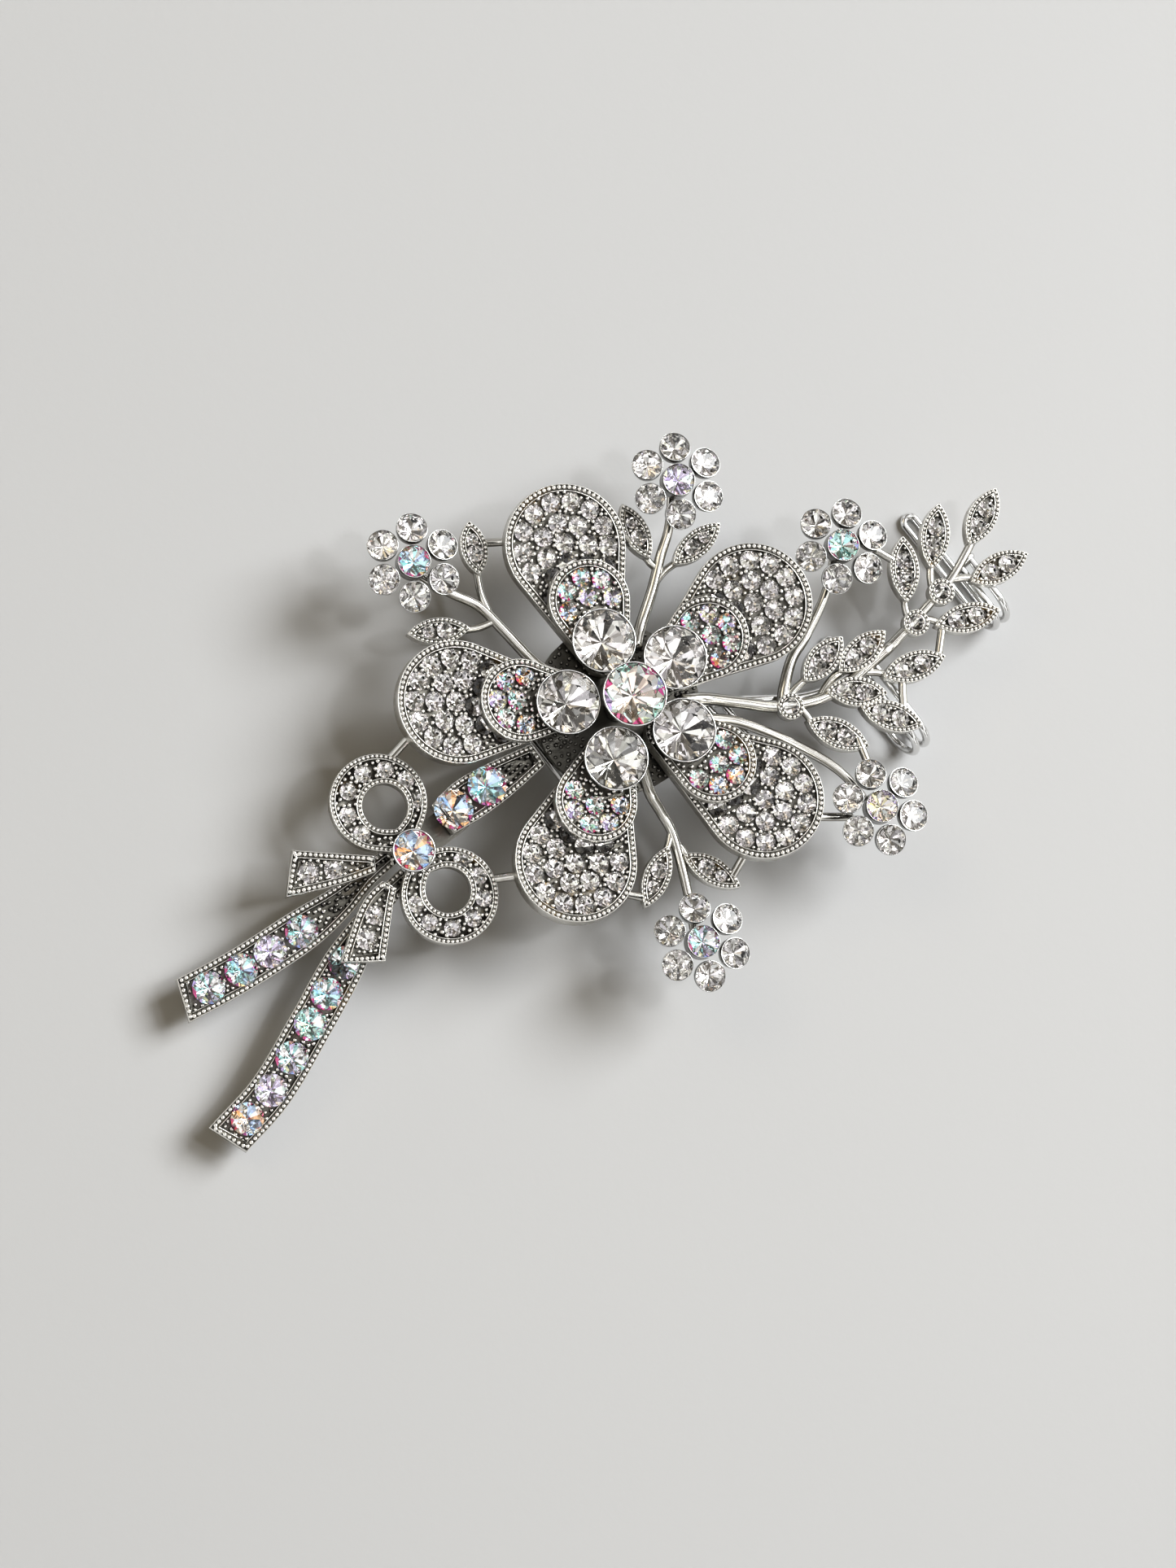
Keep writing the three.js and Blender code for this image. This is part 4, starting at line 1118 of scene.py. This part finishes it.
stemShape = {"diameter": 1.5, "tip": 1.0, "twig": 0.9, "z": backZ + 0.75, "runOn": 0.72,
             "overPlate": backZ + 1.7}
floretShape = {
    "stone": 3.6, "rimStone": 3.4, "ring": 3.6, "tilt": 12, "lift": 0.395, "base": 9.9, "rise": 2.6,
    "girdle": 1.72,
    "wall": 0.09,
}
florets = [
    {"at": (-9.3, 27), "turn": -6, "rootAngle": 114, "stem": [(-7.4, 22.4), (-5.4, 18.9), (-4.8, 14.7)],
     "leaves": [((-3.3, 21.5), (-0.4, 27.2)), ((-8, 17.4), (-14.2, 21.2))],
     "twigs": [((-5, 17), (-3, 22.2)), ((-5, 16.4), (-8.8, 17.9))]},
    {"at": (21.3, 16.3), "turn": -4, "rootAngle": 35, "stem": [(18.1, 12.8), (15.2, 10.7), (12.2, 8.4)],
     "leaves": [((13.8, 11.2), (15.3, 18.2)), ((15.6, 9.1), (23.2, 9.6))],
     "twigs": [((14, 10), (13.9, 12)), ((13, 8.8), (16.6, 9.1))]},
    {"at": (32.1, -1.1), "turn": -18, "rootAt": (17.3, -9.9), "joinAt": (16.0, -11.2),
     "stem": [(28.1, -4.3), (23.3, -6.7), (20.2, -7.8)],
     "leaves": [], "twigs": []},
    {"at": (16.4, -27.3), "turn": 8, "rootAngle": 317, "stem": [(16.3, -21.5), (14.2, -15.9), (10.6, -9.9)],
     "leaves": [], "twigs": []},
    {"at": (-10, -26.6), "turn": 4, "rootAngle": 253, "stem": [(-6.8, -21.2), (-4, -15.4), (-3.4, -12.4)],
     "leaves": [((-5.4, -15.8), (-12, -19.7)), ((-4.6, -17.6), (-1.7, -24.6))],
     "twigs": [((-3.9, -14.8), (-6.4, -16.4)), ((-4.2, -15.8), (-4.3, -18.4))]},
]


def tubeMesh(points, radii, sides=14, steps=40):
    # a round bar along a curve through (x, y, z) points in millimetres, its radius easing from end to end
    rings = []
    for i in range(steps + 1):
        t = i / steps
        here = Vector(splinePoint(points, t))
        ahead = (Vector(splinePoint(points, min(t + 0.01, 1)))
                 - Vector(splinePoint(points, max(t - 0.01, 0)))).normalized()
        side = ahead.cross(Vector((0, 0, 1))).normalized()
        over = side.cross(ahead)
        radius = radii[0] + (radii[1] - radii[0]) * t
        rings.append([placed(*(here + radius * (math.cos(a) * side + math.sin(a) * over)))
                      for a in (2 * math.pi * k / sides for k in range(sides))])
    ends = []
    for ring, near in ((rings[0], rings[1]), (rings[-1], rings[-2])):
        middle = sum(ring, Vector()) / sides
        outward = (middle - sum(near, Vector()) / sides).normalized() * 0.25 * mm
        ends.append([middle + (p - middle) * 0.6 + outward for p in ring])
    rings = [ends[0]] + rings + [ends[1]]
    return toMesh(skinned(rings, [0] * len(rings)), "tube", recalculate=True)


def stemRoot(item):
    if "rootAt" in item:
        return item["rootAt"]
    angle = math.radians(item["rootAngle"])
    return 10.3 * math.cos(angle), 10.3 * math.sin(angle)


def stemEnd(item):
    # a stem that starts at the flower runs on, over the edge of the back plate
    x, y = stemRoot(item)
    ends = [(x, y, stemShape["z"])]
    if "joinAt" in item:
        ends.append((*item["joinAt"], stemShape["z"]))
    if "rootAt" not in item:
        ends.append((x * stemShape["runOn"], y * stemShape["runOn"], stemShape["overPlate"]))
    return ends


def flatFrame(baseZ):
    return lambda x, y, z: placed(x, y, baseZ + z)


leafShape = {"width": 3.5, "smallWidth": 3.1, "height": 1.9, "field": 1.0, "girdle": 1.86,
             "stones": ((0.33, 2.25), (0.63, 2.1)), "smallStones": ((0.40, 1.95), (0.66, 1.4))}


def leafSpec(ends, width, seed):
    base, tip = ends
    chosen = leafShape["smallStones" if width < leafShape["width"] else "stones"]
    stones = [(base[0] + (tip[0] - base[0]) * s, base[1] + (tip[1] - base[1]) * s, size, "clear") for s,
              size in chosen]
    return {
        "outlineAt": lambda inset: marquise(base, tip, width, inset), "height": leafShape["height"],
        "field": leafShape["field"], "toFrame": flatFrame(backZ), "stones": stones, "seed": seed,
        "rim": "fine",
        "girdle": leafShape["girdle"],
    }


def twigMesh(ends):
    (x0, y0), (x1, y1) = ends
    z = stemShape["z"]
    bow = ((x0 + x1) / 2 - (y1 - y0) * 0.06, (y0 + y1) / 2 + (x1 - x0) * 0.06, z)
    return tubeMesh([(x0, y0, z), bow, (x1, y1, z)], (stemShape["twig"] / 2, stemShape["twig"] / 2), 10, 12)


def makeFlorets():
    f = floretShape
    for i, item in enumerate(florets):
        number = i + 1
        x, y = item["at"]
        lowZ, highZ = stemShape["z"], f["base"] - 0.3 - stemShape["diameter"] / 2
        path = [(x, y, highZ)]
        path += [(sx, sy, (lowZ + highZ) / 2 if k == 0 else lowZ) for k, (sx, sy) in enumerate(item["stem"])]
        path += stemEnd(item)
        extra = [(tubeMesh(path, (stemShape["tip"] / 2, stemShape["diameter"] / 2)), "stemMetal")]
        extra += [(twigMesh(ends), "stemMetal") for ends in item["twigs"]]
        leaves = [leafSpec(ends, leafShape["smallWidth"], 300 + 10 * i + k) for k,
                  ends in enumerate(item["leaves"])]
        addCasting("floret%dStem" % number, ["floret_%d_stem" % number], leaves, extra)

        cups, rimStones = [], []
        rng = random.Random(400 + i)
        for k in range(6):
            azimuth = item["turn"] + 60 * k
            spot = circlePoint(f["ring"], azimuth, f["lift"] + f["base"]) + Vector((x, y, 0))
            radius = f["rimStone"] / 2
            frameAt = tiltedFrame(spot, f["tilt"], azimuth)
            g = f["girdle"]
            profile = [(0.8, 0), (1.35, 0.1), (radius + f["wall"] - 0.1, 0.75),
                       (radius + f["wall"], g - 0.25),
                       (radius + f["wall"], g + 0.02), (radius + f["wall"] - 0.06, g + 0.09),
                       (radius + 0.02, g + 0.05),
                       (radius + 0.02, g - 0.15), (0.3, 0.5)]
            cups.append((turnedShape(profile, 40, frameAt, 0), "brightPlate"))
            normal = (frameAt(0, 0, 1) - frameAt(0, 0, 0)).normalized()
            rimStones.append((frameAt(0, 0, g), normal, f["rimStone"] * mm, "clear", rng.uniform(0, 45),
                              rng.randrange(12)))
        radius = f["stone"] / 2
        middle = tiltedFrame((x, y, f["base"]))
        g = f["rise"]
        profile = [(1.0, 0), (1.5, 0.1), (radius + 0.12, 0.9), (radius + f["wall"], g - 0.3),
                   (radius + f["wall"], g + 0.04),
                   (radius + f["wall"] - 0.06, g + 0.12), (radius + 0.02, g + 0.06),
                   (radius + 0.02, g - 0.15), (0.3, 0.9)]
        cups.append((turnedShape(profile, 48, middle, 0), "brightPlate"))
        addPiece("floret%dCups" % number, joinedMesh("cups", cups, metalSlots),
                 ["floret_%d_cups" % number])
        addPiece("floret%dRimStones" % number, stoneMesh(rimStones))
        core = [(middle(0, 0, g), Vector((0, 0, 1)), f["stone"] * mm, "aurora", rng.uniform(-15, 15), i + 1)]
        addPiece("floret%dStone" % number, stoneMesh(core), ["floret_%d_stone" % number])
    print("florets set")


sprays = {
    "lower_spray": {
        "radii": (0.75, 0.68), "rootAngle": 330,
        "stem": [(12.2, -8.2), (15.9, -11.5), (22, -13.9), (30.7, -13.7)],
        "leaves": [((19.4, -10.7), (26.4, -9.4)), ((23.4, -12.3), (31, -11.9)),
                   ((27.3, -15.9), (34.9, -18.5)),
                   ((22.9, -17), (27.5, -23.2)), ((16.8, -14.4), (20.7, -21.2)),
                   ((20.8, -13), (26.5, -17.7))],
        "twigs": [((16, -11.5), (20.2, -10.6)), ((20, -13.2), (24.4, -12.4)), ((25.5, -13.9), (28.4, -16.2)),
                  ((22.5, -14.6), (23.6, -18)), ((17.2, -12.2), (17.3, -15.4))],
        "buds": [(16.3, -12)],
    },
    "upper_spray": {
        "radii": (0.66, 0.5), "rootAt": (31.1, -13.65), "joinAt": (29.6, -13.8),
        "stem": [(34.4, -13.2), (38, -12.6), (42, -11.8), (46.6, -10)],
        "leaves": [((35.2, -10.9), (39.8, -4.5)), ((40.1, -9.6), (45.9, -4.1)), ((45.6, -10.1), (52.7, -6.8)),
                   ((43, -13.6), (50.8, -15.1)), ((36.2, -15), (43.8, -18.3))],
        "twigs": [((34.2, -13.2), (35.9, -9.9)), ((38.6, -12.4), (41, -8.8)), ((41.6, -12), (44.2, -13.8)),
                  ((35.4, -13), (37.4, -15.6))],
        "buds": [(34.6, -13.4), (39.4, -12.4)],
    },
}
budShape = {"diameter": 3.1, "stone": 2.2}


def ringOutline(center, radius, inset, steps=40):
    return arcPoints(center, radius - inset, 0, 2 * math.pi, steps)[:-1]


def makeSprays():
    for s, (name, item) in enumerate(sprays.items()):
        z = stemShape["z"]
        path = stemEnd(item)[::-1] + [(x, y, z) for x, y in item["stem"]]
        extra = [(tubeMesh(path, item["radii"]), "stemMetal")]
        extra += [(twigMesh(ends), "stemMetal") for ends in item["twigs"]]
        specs = [leafSpec(ends, leafShape["width"], 500 + 30 * s + k) for k,
                 ends in enumerate(item["leaves"])]
        for k, at in enumerate(item["buds"]):
            specs.append({
                "outlineAt": lambda inset, at=at: ringOutline(at, budShape["diameter"] / 2, inset),
                "height": leafShape["height"], "field": leafShape["field"], "toFrame": flatFrame(backZ),
                "rim": "fine",
                "stones": [(at[0], at[1], budShape["stone"], "clear")], "seed": 590 + 5 * s + k,
            })
        addCasting(name.replace("_spray", "Spray"), [name], specs, extra)
    print("sprays set")


bow = {
    "band": [(-10.8, 1.4, 1.4), (-16, 1.8, 2.2), (-20.5, 2.2, 2.5), (-24.2, 2.2, 2)],
    "height": 2.0, "field": 0.9,
    "loops": {
        "left": {"root": (-29.3, 3.4), "end": (-28.8, 8.1), "hole": (-28.5, 7.3)},
        "right": {"root": (-29.3, -0.8), "end": (-28.9, -5), "hole": (-28.7, -4.4)},
    },
    "loopShape": {"rootRadius": 1.7, "endRadius": 5.5, "holeRadius": 2.6, "holeRootRadius": 0.9,
                  "holeTaper": 1.9,
                  "stone": 2.25, "stonePath": 4.0},
    "tails": {
        "left": {"line": [(-33.4, 2.9, 0.9), (-36.8, 4.8, 1.7), (-41.7, 7.9, 2.6)], "slant": 0.6,
                 "stones": [(-37.5, 5.2, 2.2), (-39.9, 6.6, 2.4)]},
        "right": {"line": [(-33.6, 0.1, 0.9), (-36.6, -1.3, 1.8), (-41.3, -4.9, 2.4)], "slant": -0.7,
                  "stones": [(-37.0, -1.6, 2.2), (-39.4, -3.2, 2.4)]},
    },
}
streamers = {
    "height": 1.6, "field": 0.12, "droopFrom": 0.25, "droopPower": 1.2, "droopSteps": 80, "droop": 2.5,
    "stone": 3.75, "girdle": 1.62,
    "lines": [
        {"line": [(-30.8, 2.6, 1.1), (-35, 2.4, 1.3), (-39, 2, 1.85), (-44.1, 2.1, 2.4), (-52, 2.8, 2.45),
                  (-59.1, 4, 2.45)],
         "slant": 0.5, "stones": [(-44.1, 2.0), (-48.2, 2.4), (-52.0, 2.75), (-56.0, 3.4)]},
        {"line": [(-30.8, -0.3, 1.1), (-35, -0.9, 1.3), (-39, -2.3, 1.85), (-43.4, -4.1, 2.4),
                  (-49.7, -6.8, 2.45),
                  (-57.6, -9.9, 2.45), (-64.7, -11.2, 2.45)],
         "slant": -0.4, "stones": [(-42.5, -3.7), (-46.2, -5.2), (-49.7, -6.75), (-53.6, -8.4),
                                   (-57.6, -9.85), (-61.6, -10.7)]},
    ],
}


def loopOutlines(item):
    s = bow["loopShape"]
    root, end, hole = item["root"], item["end"], item["hole"]
    gap = math.hypot(root[0] - hole[0], root[1] - hole[1])
    holeRoot = tuple(h + (r - h) * s["holeTaper"] / gap for h, r in zip(hole, root))
    outer = lambda inset: teardrop(root, end, s["rootRadius"], s["endRadius"], inset)
    inner = lambda inset: teardrop(holeRoot, hole, s["holeRootRadius"], s["holeRadius"], -inset)
    return outer, inner


def droopAt(line, x):
    # how far a streamer has drooped where it passes x
    steps, start = streamers["droopSteps"], streamers["droopFrom"]
    best = min((abs(splinePoint(line, k / steps)[0] - x), k / steps) for k in range(steps + 1))[1]
    return -streamers["droop"] * (0 if best < start
                                  else ((best - start) / (1 - start)) ** streamers["droopPower"])


def bigSetting(name, kind, node, cupNode, radius, spin, pattern, depth):
    low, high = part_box(node)
    x, y, _ = local((low + high) / 2)
    girdle = low.z / mm + depth
    toFrame = tiltedFrame((x, y, girdle))
    if cupNode:
        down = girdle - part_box(cupNode)[0].z / mm
        cupMesh = turnedShape(bezelProfile(radius, down), 48, toFrame, 0)
        addPiece(name + "Cup", joinedMesh("cup", [(cupMesh, "brightPlate")], metalSlots),
                 [cupNode])
    mesh = stoneMesh([(toFrame(0, 0, 0), Vector((0, 0, 1)), 2 * radius * mm, kind, spin, pattern)])
    addPiece(name + "Stone", mesh, [node])


def makeBow():
    flat = flatFrame(backZ)
    addCasting("ribbonBand", ["ribbon_band"], [{
        "outlineAt": lambda inset: bandEdges(bow["band"], 0, inset), "height": bow["height"],
        "toFrame": flat, "stones": [(-18, 2.1, 4.5, "hole"), (-22.7, 2.3, 4.5, "hole")], "seed": 601,
        "field": 0.4,
        "dark": lambda x, y: x > -15,
    }])
    for i, pattern in ((1, 1), (2, 6)):
        bigSetting("band%d" % i, "aurora", "band_stone_%d" % i, None, 2.25, 30 * i, pattern, 1.75)
    bigSetting("knot", "aurora", "knot_stone", "knot_cup", 2.25, 12, 6, 1.3)
    for side, item in bow["loops"].items():
        outer, inner = loopOutlines(item)
        stones = []
        facing = math.degrees(math.atan2(item["end"][1] - item["root"][1], item["end"][0] - item["root"][0]))
        middle = tuple((a + b) / 2 for a, b in zip(item["end"], item["hole"]))
        for k in range(-3, 4):
            angle = math.radians(facing + 38 * k)
            path = bow["loopShape"]["stonePath"]
            stones.append((middle[0] + path * math.cos(angle), middle[1] + path * math.sin(angle), 1.95,
                           "clear"))
        addCasting(side + "Loop", ["bow_loop_" + side], [{
            "outlineAt": outer, "holeAt": inner, "height": bow["height"], "field": bow["field"],
            "toFrame": flat,
            "stones": stones, "seed": 611 if side == "left" else 612, "rim": "fine",
        }])
    for side, item in bow["tails"].items():
        stones = [(x, y, d, "clear") for x, y, d in item["stones"]]
        addCasting(side + "Tail", ["bow_tail_" + side], [{
            "outlineAt": lambda inset, item=item: bandEdges(item["line"], item["slant"], inset),
            "height": bow["height"],
            "field": bow["field"], "toFrame": flat, "stones": stones, "seed": 620,
            "dark": lambda x, y: x > -35.2,
        }])
    rootZ = backZ - 0.3 - streamers["height"]
    for i, item in enumerate(streamers["lines"]):
        stones = [(x, y, streamers["stone"], "aurora") for x, y in item["stones"]]
        line = item["line"]
        addCasting("streamer%d" % (i + 1), ["streamer_%d" % (i + 1)], [{
            "outlineAt": lambda inset, item=item: bandEdges(item["line"], item["slant"], inset, 60),
            "height": streamers["height"], "field": streamers["field"],
            "toFrame": lambda x, y, z, line=line: placed(x, y, rootZ + z + droopAt(line, x)),
            "stones": stones, "seed": 630 + i, "girdle": streamers["girdle"],
            "dark": lambda x, y: x > -40.5,
        }])
    print("bow set")


plateBed = {"from": 5.0, "to": 9.5, "gap": 0.6, "petalGap": 11, "seed": 700, "lift": 0.02}


def makePlateBed():
    # painted shade: dark granules on the back plate, where it shows between the petals
    rng = random.Random(plateBed["seed"])
    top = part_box("back_plate")[1].z / mm
    spots, sizes, kept = [], [], []
    for _ in range(9000):
        x, y = rng.uniform(-plateBed["to"], plateBed["to"]), rng.uniform(-plateBed["to"], plateBed["to"])
        reach = math.hypot(x, y)
        angle = math.degrees(math.atan2(y, x))
        nearest = min(abs((angle - a + 180) % 360 - 180) for a in petals["angles"])
        if not plateBed["from"] < reach < plateBed["to"] or nearest < plateBed["petalGap"]:
            continue
        if any((x - a) ** 2 + (y - b) ** 2 < plateBed["gap"] ** 2 for a, b in kept):
            continue
        kept.append((x, y))
        spots.append(placed(x, y, top + plateBed["lift"]))
        sizes.append(rng.uniform(*setting["granule"]) * mm)
    cloud = pointCloud(spots, {"size": sizes, "depth": sizes})
    bed = grown(trees["granules"], cloud, metal=finishes["rootGranules"])
    addPiece("plateBed", joinedMesh("plateBed", [(bed, "rootGranules")], metalSlots))


tieBars = {
    "width": 1.0,
    "bars": [
        ((-0.3, 24.1, 8.4), (1.8, 22.2, 10.7)), ((13.3, 14.0, 8.4), (12.3, 17.2, 10.7)),
        ((13.7, -26.2, 9.2), (9.9, -23.6, 10.7)), ((20.6, -19.1, 8.4), (19.0, -23.6, 9.2)),
        ((28.9, -17.8, 8.4), (26.6, -20.8, 8.4)), ((36.8, -15.8, 8.4), (34.4, -18.0, 8.4)),
        ((-11.2, -18.8, 8.4), (-14.6, -15.4, 10.7)), ((-1.9, -23.2, 8.4), (1.4, -21.6, 10.7)),
        ((-24.8, 11.2, 8.4), (-21.4, 11.8, 10.4)), ((-24.0, -6.4, 8.4), (-21.6, -8.0, 10.5)),
        ((36.0, -3.8, 9.2), (37.4, -6.4, 8.4)),
    ],
}


def makeTieBars():
    half = tieBars["width"] / 2
    parts = []
    for a, b in tieBars["bars"]:
        middle = tuple((u + v) / 2 for u, v in zip(a, b))
        parts.append((tubeMesh([a, middle, b], (half, half), 10, 8), "stemMetal"))
    addPiece("tieBars", joinedMesh("tieBars", parts, metalSlots))


comb = {
    "spine": [(46, -11.2), (37, -12.8), (29, -13.8), (20, -12.6), (10, -6.2), (0, -2.2), (-9, -0.6)],
    "wire": 0.9, "bendSteps": 24, "tipSteps": 18, "prongs": 4,
}


def spineYAt(x):
    route = [splinePoint(comb["spine"], k / 200) for k in range(201)]
    return min((abs(px - x), py) for px, py in route)[1]


def prongPath(node):
    # up beside itself: from the spine, round the bend, along the lower run, round the tip, and back
    low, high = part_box(node)
    radius = comb["wire"] / 2 * mm
    x, side = (low.x + high.x) / 2, (high.x - low.x) / 2 - radius
    bend = (high.z - low.z) / 2 - radius
    bendY, tipY = low.y + radius + bend, high.y - radius - side
    rootY = flower.y + spineYAt((x - flower.x) / mm) * mm
    strand = [(rootY, high.z - radius)]
    for k in range(comb["bendSteps"] + 1):
        angle = math.pi * (0.5 + k / comb["bendSteps"])
        strand.append((bendY + bend * math.cos(angle), low.z + radius + bend + bend * math.sin(angle)))
    out = [Vector((x + side, y, z)) for y, z in strand]
    back = [Vector((x - side, y, z)) for y, z in reversed(strand)]
    turns = [math.pi * k / comb["tipSteps"] for k in range(comb["tipSteps"] + 1)]
    tip = [Vector((x + side * math.cos(a), tipY + side * math.sin(a), low.z + radius)) for a in turns]
    return out + tip + back


def makeComb():
    low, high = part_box("comb_spine")
    height, radius = (low.z + high.z) / 2 / mm, (high.z - low.z) / 2 / mm
    spine = tubeMesh([(x, y, height) for x, y in comb["spine"]], (radius, radius), 16, 80)
    addPiece("combSpine", joinedMesh("spine", [(spine, "combWire")], metalSlots),
             ["comb_spine"])
    for i in range(comb["prongs"]):
        node = "prong_%d" % (i + 1)
        wire = grown(trees["wire"], pathMesh([(prongPath(node), False)]), wireRadius=comb["wire"] / 2 * mm,
                     metal=finishes["combWire"])
        shape = bmesh.new()
        shape.from_mesh(wire)
        wire = toMesh(shape, "prong", recalculate=True)
        addPiece("prong%d" % (i + 1), joinedMesh("prong", [(wire, "combWire")], metalSlots),
                 [node])
    print("comb set")


makeFlorets()
makeSprays()
makeBow()
makePlateBed()
print("plate bed ready")
makeTieBars()
print("tie bars ready")
makeComb()


# the kept back plate, post and bow strap take the painted shade finish
keptFinish = {"back_plate": "plateBack", "center_post": "plateBack",
              "bow_strap": "plateBack"}
for nodeName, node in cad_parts.items():
    for start, finish in keptFinish.items():
        if nodeName.startswith(start):
            node.data.materials.clear()
            node.data.materials.append(finishes[finish])


def makeTable():
    mesh = bpy.data.meshes.new("table")
    half = tableLook["half"]
    corners = [(-half, -half, 0), (half, -half, 0), (half, half, 0), (-half, half, 0)]
    mesh.from_pydata(corners, [], [(0, 1, 2, 3)])
    mesh.materials.append(finishes["paleTable"])
    table = bpy.data.objects.new("table", mesh)
    scene.collection.objects.link(table)


def clearPatterns():
    for group in patterns.values():
        for stone in group:
            bpy.data.objects.remove(stone)


makeTable()
print("table ready")
clearPatterns()
